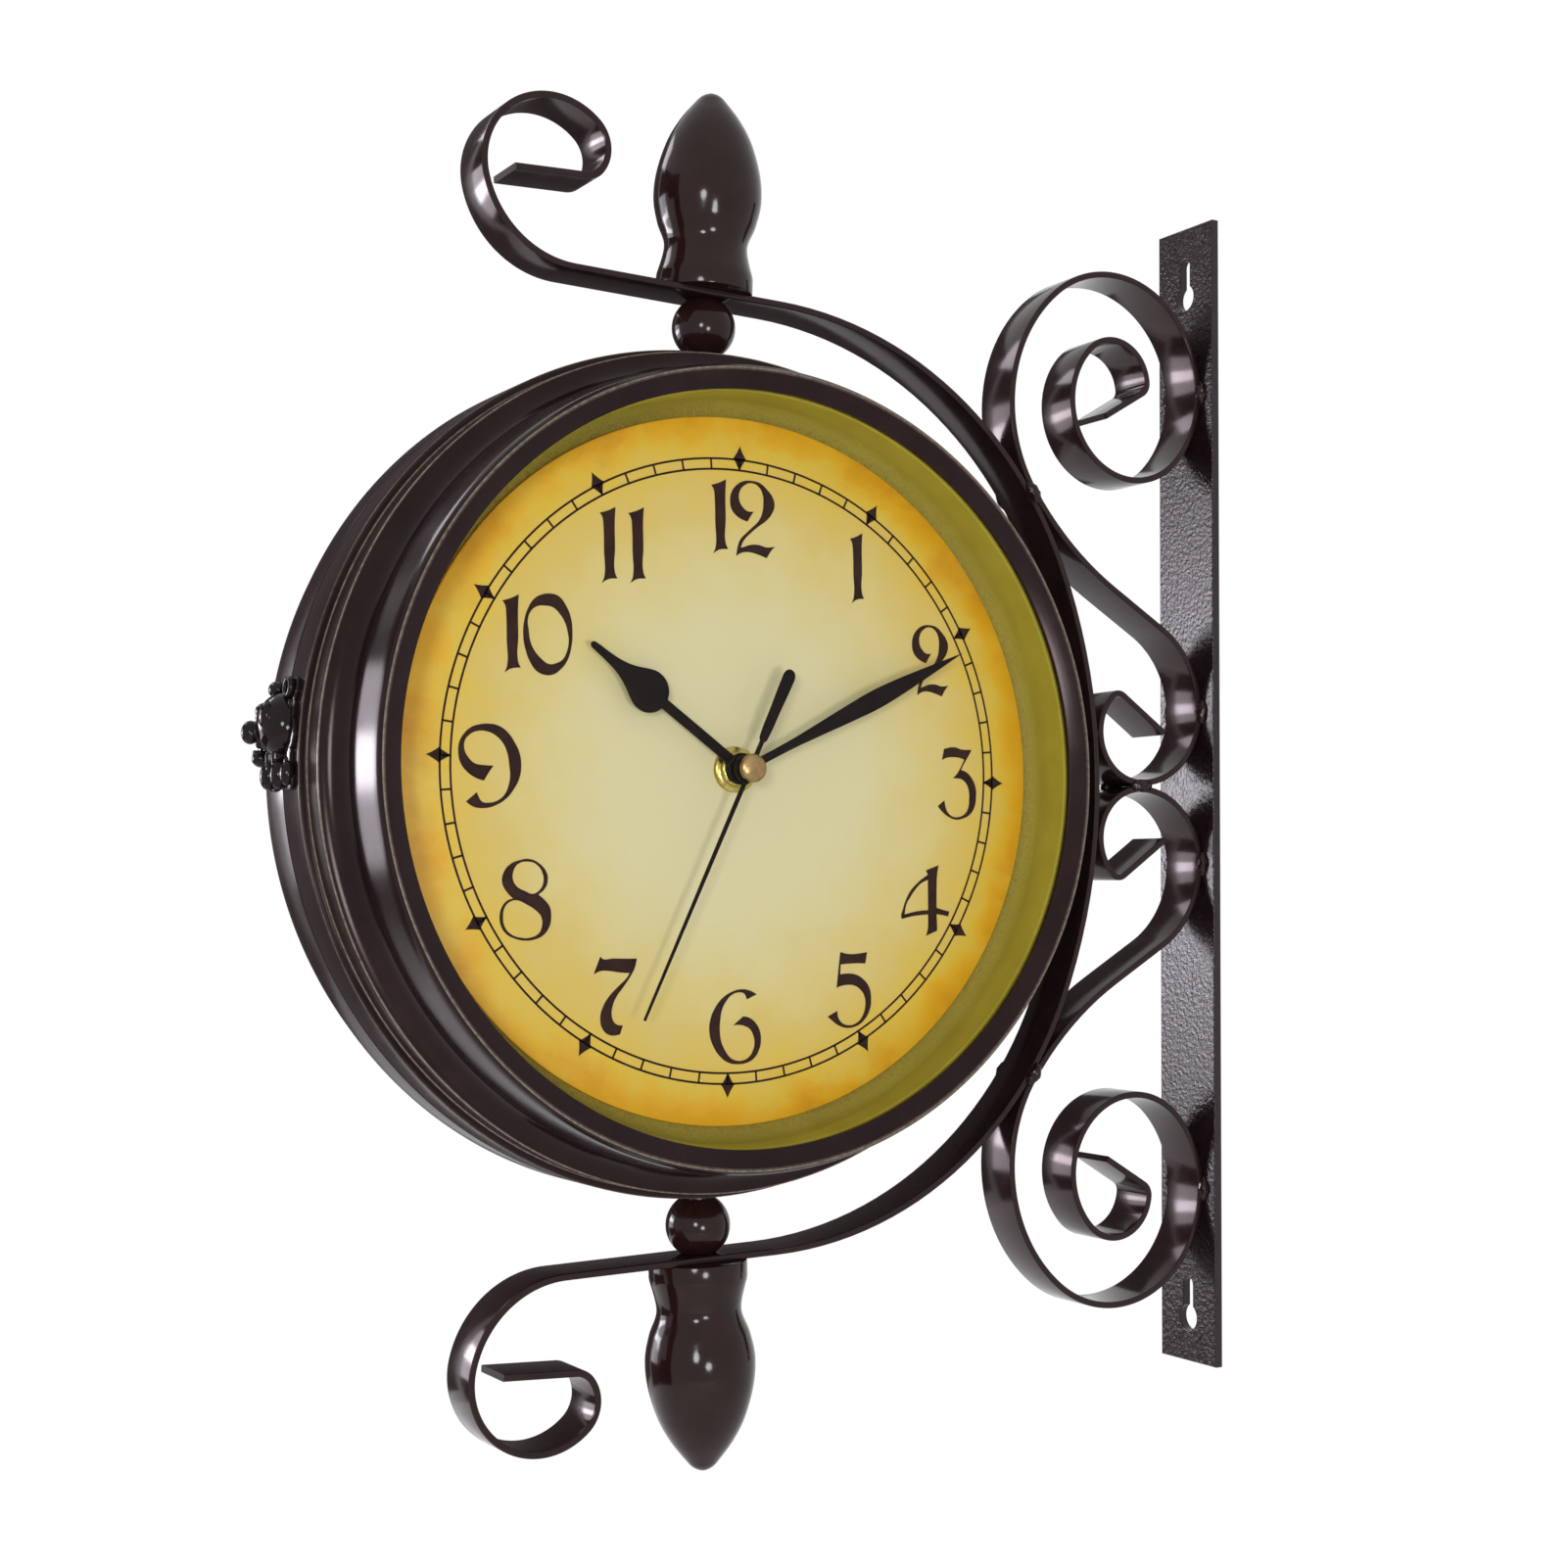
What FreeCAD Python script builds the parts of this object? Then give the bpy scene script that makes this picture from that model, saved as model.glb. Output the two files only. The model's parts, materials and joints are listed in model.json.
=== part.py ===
import FreeCAD, Part
import math
import os
from FreeCAD import Vector

# Double-sided wall clock on a scroll bracket. Millimetres, +Z up, the wall at X = 0.
# The front dial faces -Y. Pieces are shaped about the swivel axis and moved off the wall when saved.

# Wall plate
reach = 182.0               # wall to swivel axis
plate_length = 370.0
plate_width = 27.0
plate_thickness = 3.0
keyhole_radius = 4.2        # round end that passes the screw head
keyhole_slot_radius = 2.3   # narrow end that hangs on the screw
keyhole_slot_rise = 10.5
upper_keyhole_inset = 23.0  # round end's centre from the plate's top
lower_keyhole_inset = 14.0  # round end's centre from the plate's foot

# Flat bar of the arm and the scrolls
strip_width = 16.0
strip_thickness = 2.0
weld_gap = 0.05
weld_bead_radius = 2.2

# Arm, one half above the middle, from the pivot inwards and outwards
pivot_height = 138.8        # bar's middle above the case's centre, at the pivot
pivot_slope = 2.0           # degrees the bar falls towards the wall at the pivot
pivot_inner_run = 22.0
shoulder_radius = 114.0
shoulder_turn = 65.0
pivot_outer_run = 44.5
curl_bends = [(29.0, 75.0), (20.5, 145.0), (10.0, 87.0), (5.5, 49.0)]
curl_tongue = 22.0

# Scroll, from its weld on the arm's shoulder to the big eye and to the small curl
weld_direction = 35.0       # degrees above level, seen from the shoulder's centre
eye_back_radius = 48.0
eye_back_turn = 86.0
eye_outer_turn = 173.0
eye_bends = [(23.7, 181.0), (13.3, 130.0), (4.0, 64.0)]
eye_tongue = 17.0
brace_radius = 100.0
brace_turn = 24.0
brace_heel_radius = 30.0
small_curl_side_turn = 135.0
small_curl_tip_radius = 3.5
small_curl_tip_turn = 80.0
small_curl_tongue = 19.5

# Finials, spacer balls and pivot bolts
finial_height = 60.0
finial_collar_radius = 14.2
finial_collar_height = 5.0
finial_neck_radius = 12.2
finial_neck_height = 14.0
finial_belly_radius = 15.85
finial_belly_height = 28.0
finial_shoulder_radius = 12.2
finial_shoulder_height = 45.5
finial_taper_radius = 8.8
finial_taper_height = 51.8
finial_tip_radius = 4.1
finial_tip_height = 57.8
ball_radius = 9.3
bolt_radius = 2.5
bolt_head_flats = 8.0
bolt_head_height = 4.0
bolt_in_finial = 14.0
bush_wall = 1.1
bush_flange_radius = 5.2
bush_flange_thickness = 2.2
tight_fit = 0.05            # radial, pieces that are pressed or screwed together
running_fit = 0.1           # radial, pieces that turn in one another
side_clearance = 0.3        # faces that pass one another

# Case half, a spun shell measured forward from the seam
seam_y = 8.0                # seam behind the swivel axis, so the bolts pass through the front half's rim
seam_gap = 0.4
shell_wall = 1.0
rim_radius = 121.8
rim_width = 13.0
band_radius = 119.6
band_width = 9.0
cove_radius = 7.1
case_depth = 46.6
barrel_bulge = 2.6
bezel_radius = 110.7
aperture_radius = 105.0
lip_drop = 2.1

# Glass, dial and the pan that carries it
glass_thickness = 1.5
glass_edge_gap = 0.8
pan_thickness = 1.2
pan_wall_radius = 104.8
dial_radius = 100.0
dial_thickness = 2.0
nut_flats = 11.0
nut_thickness = 2.6

# Movement
movement_side = 56.0
movement_thickness = 16.0
movement_corner = 3.0
movement_front_wall = 2.0
movement_cover_thickness = 1.5
cover_margin = 2.0
wheel_radius = 8.0
wheel_thickness = 1.2
wheel_gap = 0.4
wheel_room = 1.5
bushing_radius = 4.0
bushing_length = 6.6
hour_tube_radius = 2.6
minute_tube_radius = 1.85
second_arbor_radius = 0.9
knob_spindle_radius = 1.5
knob_radius = 6.0
knob_height = 4.0
battery_radius = 7.1
battery_length = 48.5
battery_nub_radius = 2.7
battery_nub_length = 1.5
battery_drop = 19.0         # battery's middle below the hands' axis
battery_clearance = 0.3

# Hands, heights from the dial's face
hour_hand_height = 4.6
minute_hand_height = 7.3
second_hand_height = 9.9
hand_thickness = 0.5
second_hand_thickness = 0.3
hub_back = 0.6
hub_front = 0.5
hour_hub_radius = 4.5
minute_hub_radius = 3.8
second_hub_radius = 2.5
hour_hand_length = 56.0
hour_hand_width = 3.0
hour_spade_reach = 35.6
hour_spade_radius = 6.0
minute_hand_length = 80.0
minute_hand_width = 2.4
minute_leaf_reach = 47.0
minute_leaf_width = 5.6
second_hand_length = 76.6
second_hand_width = 1.2
second_tail_length = 30.7
second_paddle_start = 8.6
second_paddle_width = 3.0
cap_radius = 4.0
cap_height = 2.4
glass_clearance = 0.83      # hands' cap to the glass
hour_angle = 305.3          # degrees clockwise from twelve
minute_angle = 63.4
second_angle = 205.0

# Hinge of the case, on the wall side
hinge_half_height = 15.0
hinge_knuckle_radius = 2.5
hinge_pin_radius = 1.25
hinge_leaf_thickness = 1.0
hinge_leaf_width = 11.5
hinge_rivet_height = 9.0
hinge_rivet_inset = 4.0     # rivets from a leaf's outer edge

# Clasp, on the outer side
clasp_raise = 3.3           # degrees above the middle
clasp_plate_thickness = 1.2
clasp_plate_offset = 6.0    # plate's middle from the seam
clasp_plate_radius = 5.4
clasp_end_height = 11.5
clasp_end_radius = 3.8
clasp_eye_radius = 1.9
clasp_toe_radius = 3.2
clasp_toe_height = 12.0
hasp_middle = 0.5           # dome's middle behind the seam
hasp_half_width = 8.5
hasp_rise = 6.0
hasp_wall = 1.4
hasp_knob_radius = 2.7
hasp_knob_shift = 4.0       # knob's middle behind the seam
hasp_pin_offset = 9.1       # pin behind the seam
hasp_knuckle_radius = 1.9
hasp_knuckle_half = 4.0
hasp_pin_half = 7.5
hasp_pin_radius = 0.85
keeper_radius = 1.8
keeper_height = 1.6
keeper_offset = 3.5         # keeper's middle in front of the seam
keeper_mouth_half = 2.6

# Rivets
rivet_radius = 0.8
rivet_head_radius = 1.5
rivet_head_height = 0.8
rivet_foot_height = 0.6
front_clasp_rivet_offset = 7.0  # from the seam
front_clasp_rivet_height = 7.7  # above and below the clasp's middle
rear_clasp_rivet_offset = 6.0
rear_clasp_rivet_height = 10.2

X = Vector(1, 0, 0)
Y = Vector(0, 1, 0)
Z = Vector(0, 0, 1)
ORIGIN = Vector(0, 0, 0)
SEAM = Vector(0, seam_y, 0)


def save(name, shape):
    moved = shape.translated(Vector(-reach, 0, 0))
    moved.exportStep("parts/" + name + ".step")


def upside_down(shape):
    return shape.mirror(ORIGIN, Z)


def to_rear(shape):
    return shape.rotated(SEAM, Z, 180)


def fuse_all(shapes):
    return shapes[0].multiFuse(shapes[1:]).removeSplitter()


def cylinder(radius, start, end):
    along = end.sub(start)
    return Part.makeCylinder(radius, along.Length, start, along)


def rod(radius, middle, along):
    return cylinder(radius, middle - along, middle + along)


def tube(outer, inner, start, end):
    return cylinder(outer, start, end).cut(cylinder(inner, start, end))


def box(low, high):
    return Part.makeBox(high.x - low.x, high.y - low.y, high.z - low.z, low)


def hexagon(flats, start, first, second):
    corner = flats / 2 / math.cos(math.radians(30))
    points = []
    for degrees in range(0, 361, 60):
        turn = math.radians(degrees)
        points.append(start + first * (corner * math.cos(turn)) + second * (corner * math.sin(turn)))
    return Part.Face(Part.makePolygon(points))


# Bent flat bar: a path of straight runs and tangent arcs in the XZ plane

def line(length):
    return (0.0, length)


def arc(radius, turn):
    return (radius, turn)


def heading_vector(heading):
    return Vector(math.cos(math.radians(heading)), 0, math.sin(math.radians(heading)))


def left_of(heading):
    return heading_vector(heading + 90)


def walk(start, heading, runs):
    stations = []
    for radius, amount in runs:
        if radius == 0:
            end = start + heading_vector(heading) * amount
            stations.append((start, heading, start, heading, end, heading, False))
        else:
            side = math.copysign(radius, amount)
            centre = start + left_of(heading) * side
            middle = centre - left_of(heading + amount / 2) * side
            end = centre - left_of(heading + amount) * side
            stations.append((start, heading, middle, heading + amount / 2, end, heading + amount, True))
            heading = heading + amount
        start = end
    return stations


def path_end(start, heading, runs):
    last = walk(start, heading, runs)[-1]
    return last[4], last[5]


def bent_bar(start, heading, runs):
    half = strip_thickness / 2
    sides = {half: [], -half: []}
    stations = walk(start, heading, runs)
    for a, turn_a, m, turn_m, b, turn_b, curved in stations:
        for shift, edges in sides.items():
            first = a + left_of(turn_a) * shift
            last = b + left_of(turn_b) * shift
            if curved:
                edges.append(Part.Arc(first, m + left_of(turn_m) * shift, last).toShape())
            else:
                edges.append(Part.LineSegment(first, last).toShape())
    edges = sides[half] + sides[-half]
    for point, turn in ((start, heading), (stations[-1][4], stations[-1][5])):
        across = left_of(turn) * half
        edges.append(Part.LineSegment(point + across, point - across).toShape())
    outline = Part.Wire(Part.__sortEdges__(edges))
    bar = Part.Face(outline).extrude(Vector(0, strip_width, 0))
    return bar.translated(Vector(0, -strip_width / 2, 0))


# Arm: worked out from the pivot to where it stands upright behind the case

shoulder_end = math.radians(pivot_slope + shoulder_turn)
pivot = Vector(0, 0, pivot_height)
shoulder_start = pivot + heading_vector(-pivot_slope) * pivot_inner_run
shoulder_centre = shoulder_start - left_of(-pivot_slope) * shoulder_radius
back_start_height = shoulder_centre.z + shoulder_radius * math.cos(shoulder_end)
back_radius = back_start_height / math.cos(shoulder_end)
back_turn = 90 - pivot_slope - shoulder_turn
back_x = shoulder_centre.x + shoulder_radius * math.sin(shoulder_end)
back_x = back_x + back_radius * (1 - math.sin(shoulder_end))
bar_face = strip_thickness / 2


def main_arm():
    upper = [arc(back_radius, back_turn), arc(shoulder_radius, shoulder_turn)]
    upper.append(line(pivot_inner_run + pivot_outer_run))
    for radius, turn in curl_bends:
        upper.append(arc(radius, -turn))
    upper.append(line(curl_tongue))
    tip, heading = path_end(Vector(back_x, 0, 0), 90, upper)
    lower_tip = Vector(tip.x, 0, -tip.z)
    bar = bent_bar(lower_tip, 180 - heading, upper[::-1] + upper)
    return bar.cut(rod(bolt_radius + tight_fit, ORIGIN, pivot * 2))


# Scroll: one bar from the big eye, past the weld on the arm, down the brace to the small curl

plate_face = reach - plate_thickness
bar_at_plate = plate_face - bar_face - weld_gap
weld_ray = heading_vector(weld_direction)
weld_start = shoulder_centre + weld_ray * (shoulder_radius + strip_thickness + weld_gap)
weld_point = shoulder_centre + weld_ray * (shoulder_radius + bar_face)

eye_runs = [arc(eye_back_radius, -eye_back_turn)]
eye_join, eye_heading = path_end(weld_start, weld_direction + 90, eye_runs)
eye_outer_radius = (bar_at_plate - eye_join.x) / (1 + math.sin(math.radians(eye_heading)))
eye_touch = eye_join.z - eye_outer_radius * math.cos(math.radians(eye_heading))
eye_runs.append(arc(eye_outer_radius, -eye_outer_turn))
for bend_radius, bend_turn in eye_bends:
    eye_runs.append(arc(bend_radius, -bend_turn))
eye_runs.append(line(eye_tongue))

brace_runs = [arc(brace_radius, brace_turn)]
brace_join, brace_heading = path_end(weld_start, weld_direction - 90, brace_runs)
heel_room = brace_heel_radius * (1 + math.sin(math.radians(brace_heading)))
brace_length = (bar_at_plate - heel_room - brace_join.x) / math.cos(math.radians(brace_heading))
brace_runs.append(line(brace_length))
brace_runs.append(arc(brace_heel_radius, -(90 + brace_heading)))
heel = path_end(weld_start, weld_direction - 90, brace_runs)[0]
small_curl_foot_radius = heel.z - bar_face - weld_gap / 2
small_curl_foot_x = heel.x - small_curl_foot_radius
arm_back = back_x - back_radius
small_curl_low = heel.z - small_curl_foot_radius
foot_span = small_curl_foot_x - arm_back
arm_room = back_radius + strip_thickness + side_clearance
side_room = foot_span ** 2 + small_curl_low ** 2 - arm_room ** 2
small_curl_side_radius = side_room / (arm_room - small_curl_low) / 2
brace_runs.append(arc(small_curl_foot_radius, -90))
brace_runs.append(arc(small_curl_side_radius, -small_curl_side_turn))
brace_runs.append(arc(small_curl_tip_radius, -small_curl_tip_turn))
brace_runs.append(line(small_curl_tongue))


def upper_scroll():
    tip, heading = path_end(weld_start, weld_direction + 90, eye_runs)
    back_again = [(radius, amount if radius == 0 else -amount) for radius, amount in eye_runs[::-1]]
    return bent_bar(tip, heading + 180, back_again + brace_runs)


def wall_plate():
    low = Vector(plate_face, -plate_width / 2, -plate_length / 2)
    plate = box(low, Vector(reach, plate_width / 2, plate_length / 2))
    for round_height in (plate_length / 2 - upper_keyhole_inset, lower_keyhole_inset - plate_length / 2):
        slot_height = round_height + keyhole_slot_rise
        for radius, height in ((keyhole_radius, round_height), (keyhole_slot_radius, slot_height)):
            plate = plate.cut(cylinder(radius, Vector(plate_face, 0, height), Vector(reach, 0, height)))
        slot_low = Vector(plate_face, -keyhole_slot_radius, round_height)
        plate = plate.cut(box(slot_low, Vector(reach, keyhole_slot_radius, slot_height)))
    return plate


def weld_beads(bars):
    joints = [weld_point, Vector(plate_face, 0, eye_touch), Vector(plate_face, 0, heel.z)]
    joints = joints + [Vector(joint.x, 0, -joint.z) for joint in joints]
    joints.append(Vector(small_curl_foot_x, 0, 0))
    beads = []
    for joint in joints:
        for edge in (-strip_width / 2, strip_width / 2):
            bead = Part.makeSphere(weld_bead_radius, Vector(joint.x, edge, joint.z))
            for bar in bars:
                bead = bead.cut(bar)
            beads.append(max(bead.Solids, key=lambda solid: solid.Volume))
    return Part.makeCompound(beads)


# Finial, ball and bolt at the upper pivot, the lower ones are their mirror images

rim_inside = rim_radius - shell_wall
bush_foot = rim_inside - bush_flange_thickness - running_fit


def finial():
    collar = Vector(finial_collar_radius, 0, finial_collar_height)
    turned = [
        collar,
        Vector(finial_neck_radius, 0, finial_neck_height),
        Vector(finial_belly_radius, 0, finial_belly_height),
        Vector(finial_shoulder_radius, 0, finial_shoulder_height),
        Vector(finial_taper_radius, 0, finial_taper_height),
        Vector(finial_tip_radius, 0, finial_tip_height),
        Vector(0, 0, finial_height),
    ]
    curve = Part.BSplineCurve()
    curve.interpolate(turned)
    foot = Vector(finial_collar_radius, 0, 0)
    edges = [curve.toShape()]
    edges.append(Part.LineSegment(turned[-1], ORIGIN).toShape())
    edges.append(Part.LineSegment(ORIGIN, foot).toShape())
    edges.append(Part.LineSegment(foot, collar).toShape())
    knob = Part.Face(Part.Wire(Part.__sortEdges__(edges))).revolve(ORIGIN, Z, 360)
    knob = Part.Solid(knob) if knob.ShapeType == "Shell" else knob
    knob = knob.translated(Vector(0, 0, bar_face)).rotated(ORIGIN, Y, pivot_slope).translated(pivot)
    bore = cylinder(bolt_radius + tight_fit, pivot, bolt_tip)
    return knob.cut(bore)


bolt_tip = pivot + Vector(0, 0, bar_face + bolt_in_finial)
bolt_head_top = bush_foot - side_clearance


def ball():
    top = pivot_height - bar_face
    foot = rim_radius + side_clearance
    sphere = Part.makeSphere(ball_radius, Vector(0, 0, (top + rim_radius) / 2))
    side = 2 * ball_radius
    above = box(Vector(-side, -side, 0), Vector(side, side, side))
    above = above.translated(Vector(0, 0, -bar_face)).rotated(ORIGIN, Y, pivot_slope).translated(pivot)
    below = box(Vector(-side, -side, foot - side), Vector(side, side, foot))
    bore = cylinder(bolt_radius + tight_fit, ORIGIN, bolt_tip)
    return sphere.cut(above).cut(below).cut(bore)


def pivot_bolt():
    head = hexagon(bolt_head_flats, Vector(0, 0, bolt_head_top - bolt_head_height), X, Y)
    head = head.extrude(Vector(0, 0, bolt_head_height))
    shank = cylinder(bolt_radius, Vector(0, 0, bolt_head_top), bolt_tip)
    return fuse_all([head, shank])


def pivot_bushes():
    bore = bolt_radius + running_fit
    sleeve = tube(bore + bush_wall, bore, Vector(0, 0, bush_foot), Vector(0, 0, rim_radius))
    flange_top = Vector(0, 0, rim_inside - running_fit - tight_fit)
    flange = tube(bush_flange_radius, bore, Vector(0, 0, bush_foot), flange_top)
    flat = seam_y - rim_width + shell_wall + running_fit
    flange = flange.cut(box(Vector(-rim_width, flat - rim_width, 0), Vector(rim_width, flat, rim_radius)))
    upper = fuse_all([sleeve, flange])
    return Part.makeCompound([upper, upside_down(upper)])


# Case half: profile points are a radius and a depth forward of the seam

def at(radius, depth):
    return Vector(radius, seam_y - depth, 0)


def arc_between(start, end, bulge):
    across = Vector(end.y - start.y, start.x - end.x, 0)
    middle = (start + end) * 0.5 + across.normalize() * bulge
    return Part.Arc(start, middle, end).toShape()


def turned_about_y(edges):
    shape = Part.Face(Part.Wire(Part.__sortEdges__(edges))).revolve(ORIGIN, Y, 360)
    return Part.Solid(shape) if shape.ShapeType == "Shell" else shape


band_end = rim_width + band_width
cove_centre_depth = band_end + cove_radius
foot_radius = band_radius - cove_radius
lip_slope = lip_drop / (bezel_radius - aperture_radius)
lip_back = case_depth - lip_drop - shell_wall * math.sqrt(1 + lip_slope ** 2)


def cove_edge(radius, start, end):
    slant = math.sqrt(0.5) * radius
    middle = at(band_radius - slant, cove_centre_depth - slant)
    return Part.Arc(start, middle, end).toShape()


inner_band = band_radius - shell_wall
cove_reach = cove_radius + shell_wall
inner_band_end = cove_centre_depth - math.sqrt(cove_reach ** 2 - shell_wall ** 2)


def shell_inner_radius(depth):
    if depth <= inner_band_end:
        return inner_band
    if depth >= cove_centre_depth:
        return foot_radius - shell_wall
    return band_radius - math.sqrt(cove_reach ** 2 - (cove_centre_depth - depth) ** 2)


def case_shell():
    start = seam_gap / 2
    outer = [
        at(rim_radius, start),
        at(rim_radius, rim_width),
        at(band_radius, rim_width),
        at(band_radius, band_end),
    ]
    outer_foot = at(foot_radius, cove_centre_depth)
    bezel_edge = at(bezel_radius, case_depth)
    inner_bezel = bezel_radius - shell_wall
    inner = [
        at(inner_band, inner_band_end),
        at(inner_band, rim_width - shell_wall),
        at(rim_inside, rim_width - shell_wall),
        at(rim_inside, start),
    ]
    inner_foot = at(foot_radius - shell_wall, cove_centre_depth)
    inner_lip = at(inner_bezel, lip_back + lip_slope * (inner_bezel - aperture_radius))
    lip_front = at(aperture_radius, case_depth - lip_drop)
    lip = [bezel_edge, lip_front, at(aperture_radius, lip_back), inner_lip]
    edges = []
    for points in (outer, lip, inner, [inner[-1], outer[0]]):
        for first, last in zip(points, points[1:]):
            edges.append(Part.LineSegment(first, last).toShape())
    edges.append(cove_edge(cove_radius, outer[-1], outer_foot))
    edges.append(arc_between(outer_foot, bezel_edge, -barrel_bulge))
    edges.append(cove_edge(cove_reach, inner[0], inner_foot))
    edges.append(arc_between(inner_foot, inner_lip, -barrel_bulge))
    return turned_about_y(edges)


def disc(radius, back_depth, front_depth):
    return cylinder(radius, Vector(0, seam_y - back_depth, 0), Vector(0, seam_y - front_depth, 0))


def ring(outer, inner, back_depth, front_depth):
    return disc(outer, back_depth, front_depth).cut(disc(inner, back_depth, front_depth))


glass_back = lip_back - glass_thickness
hand_room = second_hand_height + second_hand_thickness + hub_front + cap_height + glass_clearance
dial_depth = glass_back - hand_room
pan_floor = dial_depth - dial_thickness
pan_back = pan_floor - pan_thickness
movement_back = pan_back - movement_thickness


def glass():
    return disc(bezel_radius - shell_wall - glass_edge_gap, glass_back, lip_back)


def dial_pan():
    flange = shell_inner_radius(pan_floor) - side_clearance
    floor = disc(flange, pan_back, pan_floor)
    wall = ring(pan_wall_radius + pan_thickness, pan_wall_radius, pan_floor, glass_back)
    return fuse_all([floor, wall]).cut(disc(bushing_radius + tight_fit, pan_back, pan_floor))


def dial():
    return ring(dial_radius, bushing_radius + tight_fit, pan_floor, dial_depth)


def dial_nut():
    prism = hexagon(nut_flats, Vector(0, seam_y - dial_depth, 0), Z, X)
    prism = prism.extrude(Vector(0, -nut_thickness, 0))
    return prism.cut(disc(bushing_radius + tight_fit, dial_depth, dial_depth + nut_thickness))


# Movement: wheels lie in a room behind its front wall, the cover closes the room from behind

cover_face = movement_back + movement_cover_thickness
hour_wheel_depth = pan_back - movement_front_wall - wheel_gap
minute_wheel_depth = hour_wheel_depth - wheel_thickness - wheel_gap
second_wheel_depth = minute_wheel_depth - wheel_thickness - wheel_gap
knob_centre = 2 * wheel_radius + running_fit
battery_depth = pan_back - movement_thickness / 2
cover_side = movement_side / 2 - cover_margin
cover_foot = battery_radius + battery_clearance + cover_margin - battery_drop


def at_height(shape, height):
    return shape.translated(Vector(0, 0, height))


def slab(half_width, low, high, back_depth, front_depth):
    corner = Vector(-half_width, seam_y - front_depth, low)
    return box(corner, Vector(half_width, seam_y - back_depth, high))


def movement_case():
    half = movement_side / 2
    body = slab(half, -half, half, movement_back, pan_back)
    corners = [edge for edge in body.Edges if abs(edge.tangentAt(edge.FirstParameter).y) > 0.5]
    body = body.makeFillet(movement_corner, corners)
    body = body.fuse(disc(bushing_radius, pan_back, pan_back + bushing_length))
    room = wheel_radius + wheel_room
    room_front = pan_back - movement_front_wall
    cuts = [disc(room, movement_back, room_front)]
    cuts.append(at_height(disc(room, movement_back, room_front), knob_centre))
    cuts.append(slab(room, 0, knob_centre, movement_back, room_front))
    cuts.append(slab(cover_side, cover_foot, cover_side, movement_back, cover_face))
    bay = battery_radius + battery_clearance
    bay_half = battery_length / 2 + battery_nub_length + battery_clearance
    bay_axis = Vector(0, seam_y - battery_depth, -battery_drop)
    cuts.append(cylinder(bay, bay_axis - X * bay_half, bay_axis + X * bay_half))
    cuts.append(slab(bay_half, -battery_drop - bay, -battery_drop + bay, movement_back, battery_depth))
    cuts.append(disc(hour_tube_radius + running_fit, movement_back, pan_back + bushing_length))
    for cut in cuts:
        body = body.cut(cut)
    return body


def movement_cover():
    side = cover_side - tight_fit
    plate = slab(side, cover_foot + tight_fit, side, movement_back, cover_face)
    plate = plate.cut(disc(second_arbor_radius + running_fit, movement_back, cover_face))
    knob_hole = disc(knob_radius + running_fit, movement_back, cover_face)
    return plate.cut(at_height(knob_hole, knob_centre))


def battery():
    axis = Vector(0, seam_y - battery_depth, -battery_drop)
    body = cylinder(battery_radius, axis - X * (battery_length / 2), axis + X * (battery_length / 2))
    nub_start = axis + X * (battery_length / 2)
    return body.fuse(cylinder(battery_nub_radius, nub_start, nub_start + X * battery_nub_length))


def wheel(depth, tube_radius, bore, front_depth):
    pieces = [disc(wheel_radius, depth - wheel_thickness, depth)]
    pieces.append(disc(tube_radius, depth - wheel_thickness, front_depth))
    shape = fuse_all(pieces)
    return shape.cut(disc(bore, depth - wheel_thickness, front_depth)) if bore else shape


def second_wheel(front_depth):
    rear_pivot = disc(second_arbor_radius, movement_back, second_wheel_depth)
    return fuse_all([wheel(second_wheel_depth, second_arbor_radius, 0, front_depth), rear_pivot])


def set_knob():
    knob = disc(knob_radius, movement_back, movement_back + knob_height)
    spindle = disc(knob_spindle_radius, movement_back, hour_wheel_depth)
    set_wheel = disc(wheel_radius, minute_wheel_depth - wheel_thickness, minute_wheel_depth)
    return at_height(fuse_all([knob, spindle, set_wheel]), knob_centre)


# Hands: flat blades drawn pointing at twelve, then turned to their hour

def blade(edges, height, thickness):
    face = Part.Face(Part.Wire(Part.__sortEdges__(edges)))
    flat = face.extrude(Vector(0, -thickness, 0))
    return flat.translated(Vector(0, seam_y - dial_depth - height, 0))


def mirrored_outline(half_edges):
    return half_edges + [edge.mirror(ORIGIN, X) for edge in half_edges]


def point(across, along):
    return Vector(across, 0, along)


def straight(first, last):
    return Part.LineSegment(first, last).toShape()


def curved(first, middle, last):
    return Part.Arc(first, middle, last).toShape()


def hand(edges, height, thickness, hub_radius, tube_radius):
    back_depth = dial_depth + height - hub_back
    front_depth = dial_depth + height + thickness + hub_front
    shape = fuse_all([blade(edges, height, thickness), disc(hub_radius, back_depth, front_depth)])
    return shape.cut(disc(tube_radius + tight_fit / 2, back_depth, front_depth))


def hour_hand():
    half = hour_hand_width / 2
    root = math.sqrt(hour_spade_radius ** 2 - half ** 2)
    spade_low = point(half, hour_spade_reach - root)
    spade_side = point(hour_spade_radius, hour_spade_reach)
    slant = math.sqrt(0.5) * hour_spade_radius
    spade_top = point(slant, hour_spade_reach + slant)
    tip = point(0, hour_hand_length)
    waist = (spade_top + tip) * 0.5 - point(half / 2, half / 2)
    outline = [straight(point(0, 0), point(half, 0)), straight(point(half, 0), spade_low)]
    outline.append(curved(spade_low, spade_side, spade_top))
    outline.append(curved(spade_top, waist, tip))
    outline = mirrored_outline(outline)
    shape = hand(outline, hour_hand_height, hand_thickness, hour_hub_radius, hour_tube_radius)
    return shape.rotated(ORIGIN, Y, hour_angle)


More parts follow.
